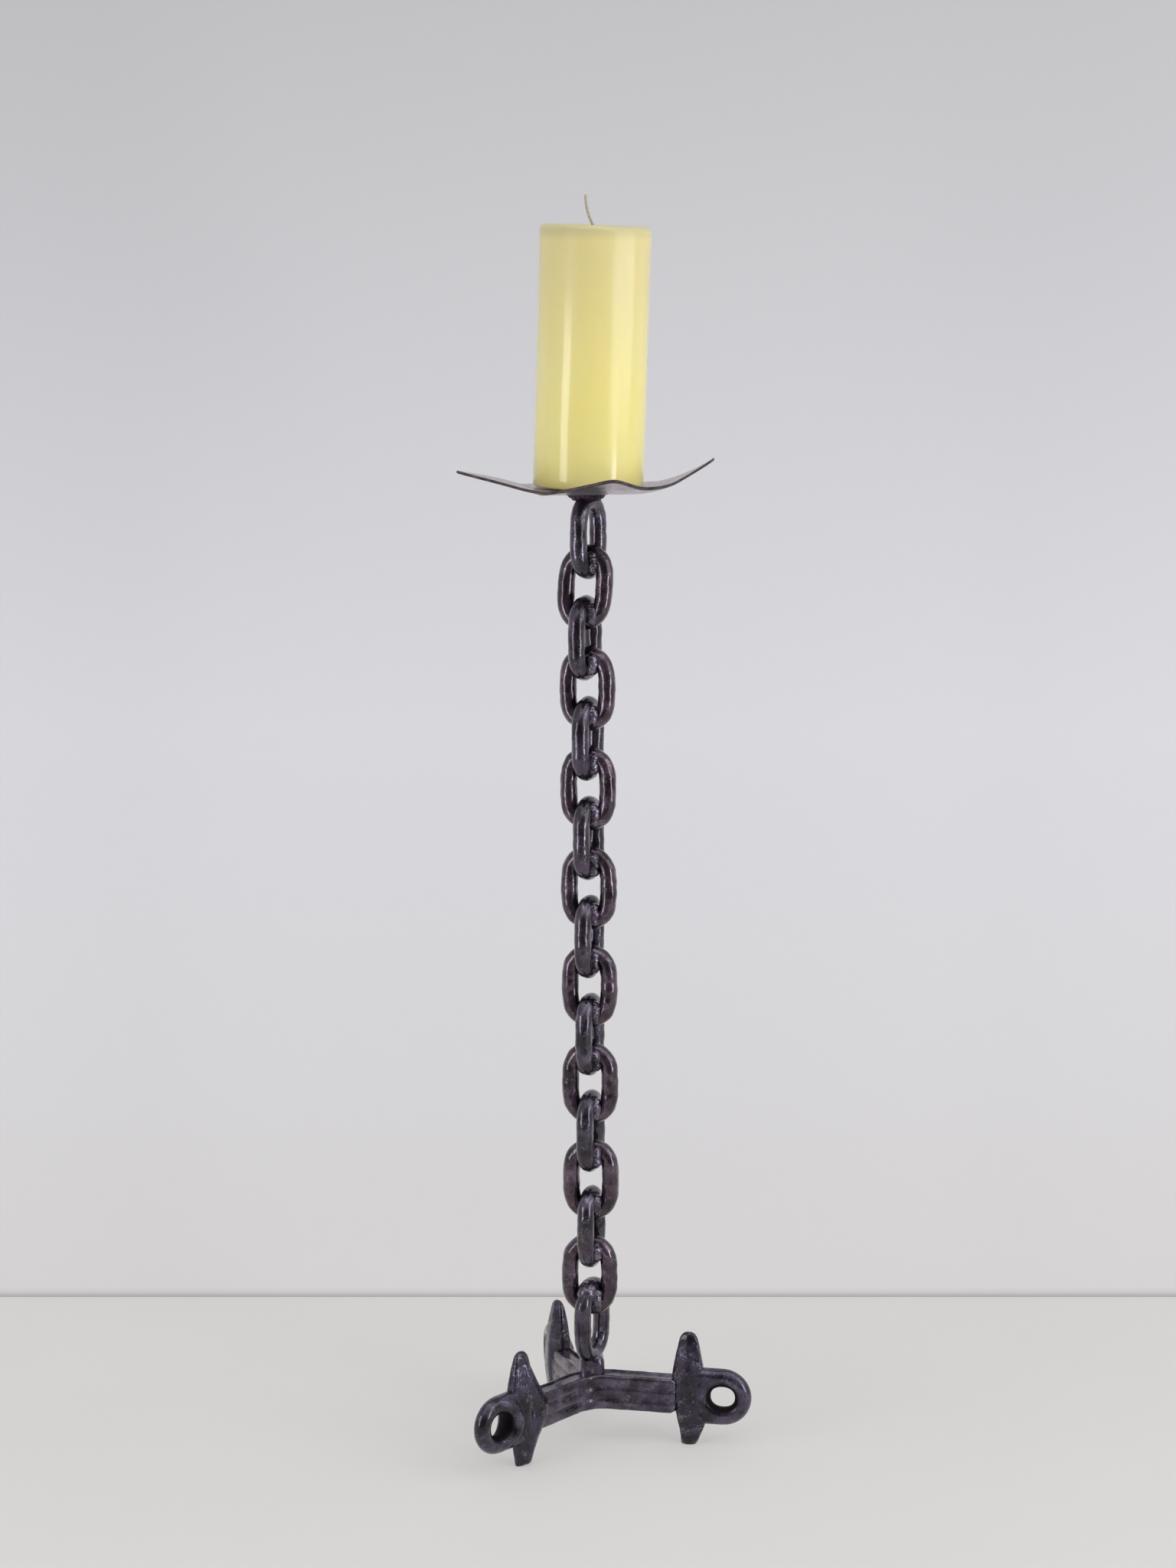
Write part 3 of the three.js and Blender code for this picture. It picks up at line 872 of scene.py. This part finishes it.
def spike_rings(below, above):
    """Rings of a six-sided bar that reaches below and above the origin and swells to the middle."""
    angle = around(SPIKE_COLUMNS)
    to_flat = math.cos(math.pi / SPIKE_FLATS)
    flats = [
        np.maximum(0, np.cos(angle - k * 2 * math.pi / SPIKE_FLATS)) ** SPIKE_SHARPNESS
        for k in range(SPIKE_FLATS)
    ]
    section = to_flat / np.sum(flats, axis=0) ** (1 / SPIKE_SHARPNESS)
    rings = []
    for t in np.sin(np.linspace(-math.pi / 2, math.pi / 2, SPIKE_ROWS)):
        swell = math.cos(t * math.pi / 2)
        length, width = (a + (b - a) * swell for a, b in zip(SPIKE_TIP, SPIKE_MIDDLE))
        reach = above if t > 0 else below
        rounding, narrowing = SPIKE_TOP_ROUNDING if t > 0 else SPIKE_FOOT_ROUNDING
        past = max(0, (abs(t) * reach - (reach - rounding)) / rounding)
        shrink = 1 - narrowing * (1 - math.sqrt(max(0, 1 - past * past)))
        x = section * np.cos(angle) * length / 2 / to_flat * shrink
        y = section * np.sin(angle) * width / 2 * shrink
        rings.append(np.stack((x, y, np.full(SPIKE_COLUMNS, t * reach)), axis=-1))
    return rings


def spike(place, material):
    """A forged bar, blunt at the foot and rounded at the top, and any metal that flares into its arm."""
    low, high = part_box("spike_" + place)
    below, above = ARM_HEIGHT - low.z, high.z - ARM_HEIGHT
    points, faces = loft(spike_rings(below, above))
    points = roughened(points, lambda p: UP * p[2], SPIKE_LUMPS, seed=len(place))
    points[:, 2] = np.clip(points[:, 2], -below, above)
    points = turned(points, SPIKE_TURN[place])
    lower = np.minimum(0, points[:, 2]) / ARM_HEIGHT
    points[:, 0] += SPIKE_SWELL[place] * np.sin(-lower * math.pi) ** SWELL_FULLNESS
    solids = at_foot([(points, faces)] + flare(place), place, bearing_of(spike_foot(place) - HUB))
    fused("forged_spike_" + place, solids, SPIKE_SKIN, material, "spike_" + place)


def flare(place):
    """A close row of drops that carries a spike over into its arm."""
    if not FLARES[place]:
        return []
    knots = np.array(FLARES[place]) * MM
    at = np.linspace(0, len(knots) - 1, FLARE_STEPS)
    row = zip(*(np.interp(at, range(len(knots)), column) for column in knots.T))
    return [ball(np.array(centre), radius, FLARE_STRETCH) for *centre, radius in row]


def eye_leg(height):
    """A level round bar at a height, from the spike's middle out to the eye."""
    angle = around(LEG_SIDES)
    y, z = -EYE_BAR / 2 * np.sin(angle), height + EYE_BAR / 2 * np.cos(angle)
    stations = np.linspace(0, EYE_REACH, LEG_STEPS)
    return loft([np.stack((np.full(LEG_SIDES, x), y, z), axis=-1) for x in stations])


def eye(place, material):
    """A round eye in the upright plane of its arm, with two legs and a web that run back into the spike."""
    ring = (EYE_WIDTH - EYE_BAR) / 2
    turn, side = np.meshgrid(around(EYE_STEPS), around(EYE_SIDES), indexing="ij")
    reach = ring + EYE_BAR / 2 * np.cos(side)
    inner = 1 - EYE_FLATTENED * (1 - np.cos(side)) / 2 * np.sin(turn) ** 2
    deeper = 1 + EYE_ROOT[place] * np.clip(-np.cos(turn), 0, 1)
    x, y, z = reach * np.cos(turn), EYE_BAR / 2 * np.sin(side) * deeper, reach * np.sin(turn) * inner
    points = np.stack((EYE_REACH + x, y, z), axis=-1)
    solids = [(points.reshape(-1, 3), grid_faces(EYE_STEPS, EYE_SIDES, closed_rows=True))]
    solids += [eye_leg(-ring), eye_leg(ring)]
    solids.append(ball(np.array((EYE_REACH * WEB_PLACE, 0, 0)), WEB_RADIUS, WEB_STRETCH))
    solids = at_foot(solids, place, eye_bearing(place))
    fused("forged_eye_" + place, solids, EYE_SKIN, material, "eye_" + place)


def eye_bearing(place):
    return bearing_of(spike_foot(place) - HUB) + EYE_TURN[place]


def eye_centre(place):
    return spike_foot(place) + UP * ARM_HEIGHT + EYE_REACH * heading(eye_bearing(place))


def stem_section():
    """The closed outline of the ribbed bar, across and up: three ribs each side and a channel on top."""
    half_width, half_height = STEM_WIDTH / 2, STEM_HEIGHT / 2
    flank = half_width - RIB_DEPTH
    up = np.linspace(-1, 1, RIB_POINTS)
    rib = (up + 1) / 2 * RIB_COUNT % 1
    round_rib = np.sqrt(np.maximum(0, 1 - (2 * rib - 1) ** 2))
    right = list(zip(half_width - RIB_DEPTH * (1 - round_rib), up * half_height))
    top = []
    for x in np.linspace(flank, -flank, CHANNEL_POINTS)[1:-1]:
        into = np.clip(((CHANNEL_WIDTH + CHANNEL_SLOPE) / 2 - abs(x)) / CHANNEL_SLOPE, 0, 1)
        top.append((x, half_height - CHANNEL_DEPTH * into * into * (3 - 2 * into)))
    left = [(-x, z) for x, z in reversed(right)]
    bottom = [(x, -half_height) for x in np.linspace(-flank, flank, UNDERSIDE_POINTS)[1:-1]]
    outline = np.array(right + top + left + bottom)
    for _ in range(SECTION_SOFTENING):
        outline = (np.roll(outline, 1, 0) + 2 * outline + np.roll(outline, -1, 0)) / 4
    return outline


def stem(place, path, ahead, material):
    """The ribbed bar along a level path, with the direction at each point. Its last end is chamfered."""
    outline = stem_section()
    left_over = np.linalg.norm(path - path[-1], axis=1)
    shrink = 1 - STEM_NARROWING * np.clip(1 - left_over / STEM_CHAMFER, 0, 1)
    across = np.cross(ahead, UP)
    rings = [p + k * (outline[:, :1] * a + outline[:, 1:] * UP) for p, a, k in zip(path, across, shrink)]
    points, faces = loft(rings)
    points += UP * ARM_HEIGHT

    def nearest(point):
        return path[np.argmin(((path - point) ** 2).sum(1))] + UP * ARM_HEIGHT

    points = roughened(points, nearest, STEM_LUMPS, STEM_SEED)
    shown = piece("forged_arm_" + place, points, faces, material, "holder", "arm_" + place)
    shown.data.set_sharp_from_angle(angle=STEM_CREASE)


def bent_path(here, there, reach):
    """From the middle of the bend out along one arm, and its directions: round the corner, then straight."""
    start, end = there * BEND_LENGTH, here * BEND_LENGTH
    shares = np.linspace(BEND_START, 1, BEND_STEPS, endpoint=False)
    bend = [(1 - t) ** 2 * start + t * t * end for t in shares]
    straight = [here * d for d in np.linspace(BEND_LENGTH, reach, STEM_STEPS)]
    path = np.array(bend + straight)
    return HUB + path, directions(path)


def base():
    """Three arms, each with its spike and eye, and the weld under the column."""
    feet = {place: spike_foot(place) - HUB for place in ("left", "right", "back")}
    reach = {place: np.linalg.norm(foot) - STEM_END for place, foot in feet.items()}
    ahead = {place: foot / np.linalg.norm(foot) for place, foot in feet.items()}
    arm_iron = iron_look("arm iron", ARM_TINT, BASE_GLOSS)
    stem("left", *bent_path(ahead["left"], ahead["right"], reach["left"]), arm_iron)
    stem("right", *bent_path(ahead["right"], ahead["left"], reach["right"]), arm_iron)
    back = ahead["back"]
    path = HUB + np.array([back * d for d in np.linspace(BACK_STEM_START, reach["back"], STEM_STEPS)])
    # The back arm's lighter iron is painted light on its channel
    stem("back", path, np.tile(back, (STEM_STEPS, 1)), iron_look("back arm lit iron", BACK_ARM_LIT_TINT, BASE_GLOSS))
    spike_iron = iron_look("spike iron", SPIKE_TINT, BASE_GLOSS, bump=0.8 * MM, bare=0.4)
    # The eye iron has painted shade in each eye's hole
    eye_iron = iron_look("eye iron", EYE_TINT, BASE_GLOSS, shade_holes_at=[eye_centre(place) for place in feet])
    for place in feet:
        spike(place, spike_iron)
        eye(place, eye_iron)
    foot_weld(arm_iron)


def foot_weld(material):
    """Weld metal built up from the arms round the lowest link's end: a squarish smooth stump."""
    low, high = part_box("foot_weld")
    centre = middle("foot_weld")
    half = (high.x - low.x) / 2
    angle = around(STUMP_COLUMNS)
    foot = low.z - STUMP_SUNK
    rings = []
    for share in np.linspace(0, 1, STUMP_ROWS):
        past = max(0, (share - STUMP_SHOULDER) / (1 - STUMP_SHOULDER))
        width = half * (STUMP_FOOT_SHARE - STUMP_TAPER * share - STUMP_ROUNDING * past**2)
        ring = level_ring(angle, width * squared(angle, STUMP_SQUARENESS), foot + (high.z - foot) * share)
        rings.append(ring + centre * (1, 1, 0))
    points, faces = loft(rings)
    points = roughened(points, lambda p: centre * (1, 1, 0) + UP * p[2], STUMP_LUMPS, STUMP_SEED)
    shake = random.Random(STUMP_DROP_SEED)
    reach = half * STUMP_DROP_PLACE
    drops = drops_round(centre, reach, STUMP_DROPS, shake, lambda: low.z + STUMP_DROP_HEIGHT)
    fused("hub_weld", [(points, faces)] + drops, STUMP_SKIN, material, "foot_weld")


# The top


def collar(material):
    """The short dark boss under the plate, with weld run round it."""
    low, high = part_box("plate_collar")
    centre = middle("plate_collar")
    reach = (high.x - low.x) / 2 - COLLAR_DROP_INSET
    shake = random.Random(COLLAR_DROP_SEED)

    def height():
        return high.z - shake.uniform(*COLLAR_DROP_SUNK)

    drops = drops_round(centre, reach, COLLAR_DROPS, shake, height)
    angle = around(COLLAR_CORE_SIDES)
    shares = np.linspace(*COLLAR_CORE_SHARES, COLLAR_CORE_ROWS)
    heights = [low.z + (high.z - low.z) * share for share in shares]
    points, faces = loft([level_ring(angle, COLLAR_CORE_RADIUS, z) for z in heights])
    core = (points + centre * (1, 1, 0), faces)
    fused("boss", drops + [core], COLLAR_SKIN, material, "plate_collar")


def sheet_lift(x, y):
    """How far the folds raise or lower the sheet at each place."""
    lift = np.zeros_like(x)
    for bearing, height, curl in PLATE_FOLDS:
        reach = x * math.cos(bearing) + y * math.sin(bearing)
        share = np.maximum(0, (reach - PLATE_FLAT) / (PLATE_REACH - PLATE_FLAT))
        lift += height * share**curl
    return lift


def plate(sheet, edge):
    """The sheet as rings from its middle out over the top, round the edge and back underneath."""
    angle = around(PLATE_COLUMNS)
    outline = PLATE_HALF_SIDE * squared(angle + math.pi / 4, PLATE_SQUARENESS)
    half = PLATE_THICKNESS / 2
    flat = [(share, half) for share in np.linspace(PLATE_FIRST_SHARE, 1, PLATE_ROWS)[:-1]]
    over = flat + [(share, half * height) for share, height in PLATE_EDGE]
    under = [(share, -height) for share, height in reversed(over[:-1])]
    rings = []
    for share, height in over + under:
        x, y = outline * share * np.cos(angle), outline * share * np.sin(angle)
        wave = [noise.noise(Vector((a, b, 0)) * PLATE_WAVE_FINENESS) for a, b in zip(x, y)]
        wave = PLATE_WAVE * np.array(wave)
        wave *= np.clip((np.hypot(x, y) - PLATE_FLAT) / PLATE_WAVE_START, 0, 1)
        rings.append(np.stack((x, y, sheet_lift(x, y) + height + wave), axis=-1))
    points, faces = loft(rings)
    points = turned(points, PLATE_TURN) + COLUMN_TOP + UP * (PLATE_TOP - half)
    shown = piece("bent_plate", points, faces, sheet, "holder", "candle_plate")
    shown.data.materials.append(edge)
    first = len(flat) * PLATE_COLUMNS
    for face in shown.data.polygons[first:first + PLATE_EDGE_ROWS * PLATE_COLUMNS]:
        face.material_index = 1


def pricket(material):
    """The point that holds the candle, with a small fillet of weld at its foot."""
    low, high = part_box("pricket")
    radius = (high.x - low.x) / 2
    height = high.z - low.z
    angle = around(PRICKET_SIDES)
    points, faces = loft([level_ring(angle, radius * out, height * up) for out, up in PRICKET_PROFILE])
    points += middle("pricket") * (1, 1, 0) + UP * low.z
    piece("steel_point", points, faces, material, "holder", "pricket")


# The candle


def leaned(points):
    """Carries points from the candle's upright frame to its place on the plate."""
    c, s = math.cos(CANDLE_LEAN), math.sin(CANDLE_LEAN)
    lean = np.array(((c, 0, s), (0, 1, 0), (-s, 0, c)))
    return points @ lean.T + COLUMN_TOP + np.array((CANDLE_SHIFT, 0, CANDLE_FOOT))


def candle_profile():
    """From the socket's tip down, out over the foot, up the side and in over the dished top."""
    radius, top = CANDLE_RADIUS, CANDLE_HEIGHT
    foot = [(radius * FOOT_MIDDLE, 0)] + [(radius - inset, z) for inset, z in FOOT_ROUNDING]
    wall = [(radius, z) for z in np.linspace(WALL_START, top - CANDLE_EDGE, WALL_ROWS)]
    inner = radius - CANDLE_EDGE
    rim = [
        (inner + CANDLE_EDGE * math.cos(a), top - CANDLE_EDGE + CANDLE_EDGE * math.sin(a))
        for a in np.linspace(0, math.pi / 2, RIM_ROWS)[1:]
    ]
    dish = [
        (inner * (1 - s), top - CANDLE_DISH * (3 * s * s - 2 * s**3))
        for s in np.linspace(0, DISH_SHARE, DISH_ROWS)[1:]
    ]
    return [*SOCKET_PROFILE, *foot, *wall, *rim, *dish]


def round_noise(angle, spread, height):
    """Smooth noise round a circle of a given spread and height, which closes on itself."""
    return np.array([noise.noise(Vector(place)) for place in level_ring(angle, spread, height)])


def candle(material):
    """The pillar, faintly dented, with a rim that wavers and slumps at one side."""
    angle = around(CANDLE_COLUMNS)
    slumping = np.clip(np.cos(angle - RIM_SLUMP_BEARING), 0, 1) ** 2
    rings = []
    for radius, z in candle_profile():
        dents = 0 * angle
        if radius > CANDLE_RADIUS * DENTS_SHARE and z > DENTS_START:
            dents = round_noise(angle, DENTS_SPREAD, z * DENTS_FINENESS)
        reach = radius + (dents - DENTS_BIAS) * DENTS_DEPTH
        droop = 0 * angle
        if z > CANDLE_HEIGHT * RIM_START:
            share = np.clip((radius / CANDLE_RADIUS - RIM_SLUMP_START) / (1 - RIM_SLUMP_START), 0, 1) ** 2
            waver = (round_noise(angle, RIM_WAVER_SPREAD, RIM_WAVER_SEED) - 0.5) * RIM_WAVER
            droop = waver - RIM_SLUMP * share * slumping
        rings.append(level_ring(angle, reach, z + droop))
    points, faces = loft(rings)
    points = leaned(points)
    points[:, 2] = np.maximum(points[:, 2], CANDLE_FOOT)
    piece("wax_pillar", points, faces, material, "candle", "candle")


def wick(material):
    """A twisted cotton cord that leans over as it leaves the wax."""
    surface = np.array((-WICK_SHIFT, 0, CANDLE_HEIGHT - CANDLE_DISH))
    foot = surface - UP * WICK_SUNK
    elbow = surface + np.array((-WICK_BEND, 0, WICK_RISE / 2))
    tip = surface + np.array((-WICK_BEND, 0, WICK_RISE))
    sunk = [foot + (surface - foot) * t for t in np.linspace(0, 1, WICK_SUNK_STEPS, endpoint=False)]
    shares = np.linspace(0, 1, WICK_STEPS)
    bend = [(1 - t) ** 2 * surface + 2 * t * (1 - t) * elbow + t * t * tip for t in shares]
    path = np.array(sunk + bend)
    other = np.array((0, 1, 0))
    angle = around(WICK_SIDES)
    rings = []
    for i, (point, forward) in enumerate(zip(path, directions(path))):
        across = np.cross(forward, other)
        strands = 1 + WICK_GROOVES * np.cos(WICK_STRANDS * (angle - i * WICK_TWIST))
        radius = WICK_RADIUS * WICK_CORE * strands * (WICK_TIP_SHARE if i == len(path) - 1 else 1)
        ring = np.cos(angle)[:, None] * across + np.sin(angle)[:, None] * other
        rings.append(point + radius[:, None] * ring)
    points, faces = loft(rings)
    piece("cotton_wick", leaned(points), faces, material, "candle", "candle_wick")


# Camera, floor and light

CAMERA_PLACE = (-0.6 * MM, -2300 * MM, 881 * MM)
CAMERA_PITCH = math.radians(90 - 9.79)
LENS = 75.88
WALL_DISTANCE = 316 * MM
STAGE_REACH = 6.0
STAGE_FRONT = 1.1
WALL_TOP = 1.05
WALL_MIDDLE = 0.45
FLOOR_GRAIN = 2
FLOOR_TONES = ((0.3, (0.685, 0.67, 0.655)), (0.7, (0.705, 0.69, 0.675)))
# Painted shade on the wall: its tone at the foot, the middle and the top, darker towards the top
WALL_SHADED_TONES = ((0.725, 0.71, 0.71), (0.73, 0.725, 0.765), (0.575, 0.57, 0.59))
# Painted shade in the corner where the wall meets the floor: how dark, how high it reaches, and the share of
# that height where it is darkest
JOIN_SHADE = 0.6
JOIN_HEIGHT = 5 * MM
CORNER_SHADE_SHARE = 0.3
STAGE_GLOW = 0.5

# The room's light on the camera's side and elsewhere, and the directions along Y between which it changes
ROOM_LIGHT = (0.17, 0.7)
ROOM_TURN = (-0.93, -0.66)
SKY = (0.97, 0.98, 1, 1)
# Upright lamps: bearing from the camera's side, distance, width, bottom, top and radiance
SIDE_LAMPS = {
    "right window": (math.radians(64), 1.25, 1.15, 0.62, 1.5, 1.6),
    "right doorway": (math.radians(51), 1.25, 0.22, 0.12, 0.6, 8),
    "left window": (math.radians(-53), 1.1, 0.32, 0.12, 0.8, 4.2),
}
CEILING_PLACE = (0.1, -0.5, 2.6)
CEILING_SIZE = (2.6, 2.4)
CEILING_AIM = 0.5
CEILING_POWER = 17.2


def photograph_camera():
    data = bpy.data.cameras.new("camera")
    data.lens = LENS
    camera = added("camera", data)
    camera.location = Vector(HUB) + Vector(CAMERA_PLACE)
    camera.rotation_euler = (CAMERA_PITCH, 0, 0)
    bpy.context.scene.camera = camera


def stage_look(name, measure, *tones):
    """One-sided matt paint toned by a measure. It also glows, so that shadows on it stay pale."""
    look = Look(name, roughness=0.8, specular_ior_level=0.2)
    tone = look.ramp(measure(look), *tones)
    look.drive("Base Color", tone)
    light = look.node("Emission")
    look.link(tone, light.inputs["Color"])
    path = look.node("LightPath").outputs
    seen = look.combine("ADD", path["Is Camera Ray"], path["Is Glossy Ray"])
    seen = look.combine("ADD", seen, path["Is Transmission Ray"])
    glow = look.combine("MULTIPLY", seen, STAGE_GLOW)
    paint = look.blend(glow, look.shader.outputs[0], light.outputs[0])
    clear = look.node("BsdfTransparent").outputs[0]
    behind = look.node("NewGeometry").outputs["Backfacing"]
    surface = look.blend(behind, paint, clear)
    look.link(surface, look.tree.nodes["Material Output"].inputs["Surface"])
    return look.material


def stage_sheet(name, corners, material):
    shown = mesh_object(name, corners, [(0, 1, 2, 3)], material)
    shown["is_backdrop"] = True


def stage():
    """A pale floor that ends short of the camera's side, and a pale wall close behind, with painted shade
    darker towards its top and in the corner at its foot.
    """
    r = STAGE_REACH
    paint = stage_look("floor", lambda look: look.noise(FLOOR_GRAIN, detail=2), *FLOOR_TONES)
    stage_sheet("floor", [(-r, -STAGE_FRONT, 0), (r, -STAGE_FRONT, 0), (r, r, 0), (-r, r, 0)], paint)
    wall = HUB[1] + WALL_DISTANCE
    join = JOIN_HEIGHT / WALL_TOP
    # The wall's tones by height are painted shade, darker towards the top
    foot, waist, head = WALL_SHADED_TONES
    # Painted shade in the corner at the wall's foot
    corner_shade = tuple(JOIN_SHADE * c for c in foot)
    tones = ((CORNER_SHADE_SHARE * join, corner_shade), (join, foot), (WALL_MIDDLE, waist), (1, head))
    paint = stage_look("wall", lambda look: look.fade(look.height(), 0, WALL_TOP, kind="LINEAR"), *tones)
    stage_sheet("wall", [(-r, wall, 0), (r, wall, 0), (r, wall, r), (-r, wall, r)], paint)


def soft_lamp(name, place, size, target, power):
    data = bpy.data.lights.new(name, "AREA")
    data.shape = "RECTANGLE"
    data.size, data.size_y = size
    data.energy = power
    lamp = added(name, data)
    lamp.location = place
    lamp.rotation_euler = (Vector(target) - Vector(place)).to_track_quat("-Z", "Y").to_euler()
    lamp.visible_camera = False


def studio_world():
    """A pale room that is dimmer on the camera's side, as where the photographer stands."""
    world = bpy.data.worlds.new("studio")
    world.use_nodes = True
    tree = world.node_tree
    direction = tree.nodes.new("ShaderNodeTexCoord").outputs["Generated"]
    split = tree.nodes.new("ShaderNodeSeparateXYZ")
    dim = tree.nodes.new("ShaderNodeMapRange")
    dim.interpolation_type = "SMOOTHSTEP"
    set_inputs(dim, dict(zip(("from_min", "from_max", "to_min", "to_max"), (*ROOM_TURN, *ROOM_LIGHT))))
    sky = tree.nodes["Background"]
    set_inputs(sky, {"color": SKY})
    tree.links.new(direction, split.inputs[0])
    tree.links.new(split.outputs["Y"], dim.inputs["Value"])
    tree.links.new(dim.outputs["Result"], sky.inputs["Strength"])
    bpy.context.scene.world = world


def side_lamp(name, bearing, distance, width, low, high, radiance):
    """An upright lamp that faces the column."""
    x, y = distance * math.sin(bearing), -distance * math.cos(bearing)
    level = (low + high) / 2
    place = (HUB[0] + x, HUB[1] + y, level)
    power = radiance * math.pi * width * (high - low)
    soft_lamp(name, place, (width, high - low), (HUB[0], HUB[1], level), power)


def lights():
    studio_world()
    for name, sizes in SIDE_LAMPS.items():
        side_lamp(name, *sizes)
    soft_lamp("ceiling", CEILING_PLACE, CEILING_SIZE, (HUB[0], HUB[1], CEILING_AIM), CEILING_POWER)


# The whole scene

photograph_camera()
stage()
lights()

chain_iron = iron_look("chain iron", CHAIN_TINT, CHAIN_GLOSS)
# Painted shade: a darker, bluer copy of the chain iron for the links seen edge-on
edge_on_shaded_iron = iron_look("edge-on shaded chain iron", EDGE_ON_SHADE_TINT, CHAIN_GLOSS)
weld = iron_look("weld metal", WELD_TINT, WELD_GLOSS, bump=0.9 * MM, bare=0.7)
for i in range(LINK_COUNT):
    chain_link(i, chain_iron if i % 2 else edge_on_shaded_iron)
for i in range(LINK_COUNT - 1):
    weld_bead(i, weld)
base()
# The collar's darker iron is partly scorch and partly painted shade under the plate
collar(iron_look("scorched and shaded weld", SCORCHED_AND_SHADED_TINT, SCORCHED_GLOSS, bump=0.9 * MM, bare=0, coat=0))
plate(sheet_look(), sheet_edge_look())
pricket(chain_iron)
candle(wax_look())
wick(wick_look())

bpy.context.scene.view_settings.view_transform = "Standard"

boxes = {"cad": cad_box, "visual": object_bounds()}
{name: [list(corner) for corner in corners] for name, corners in boxes.items()}
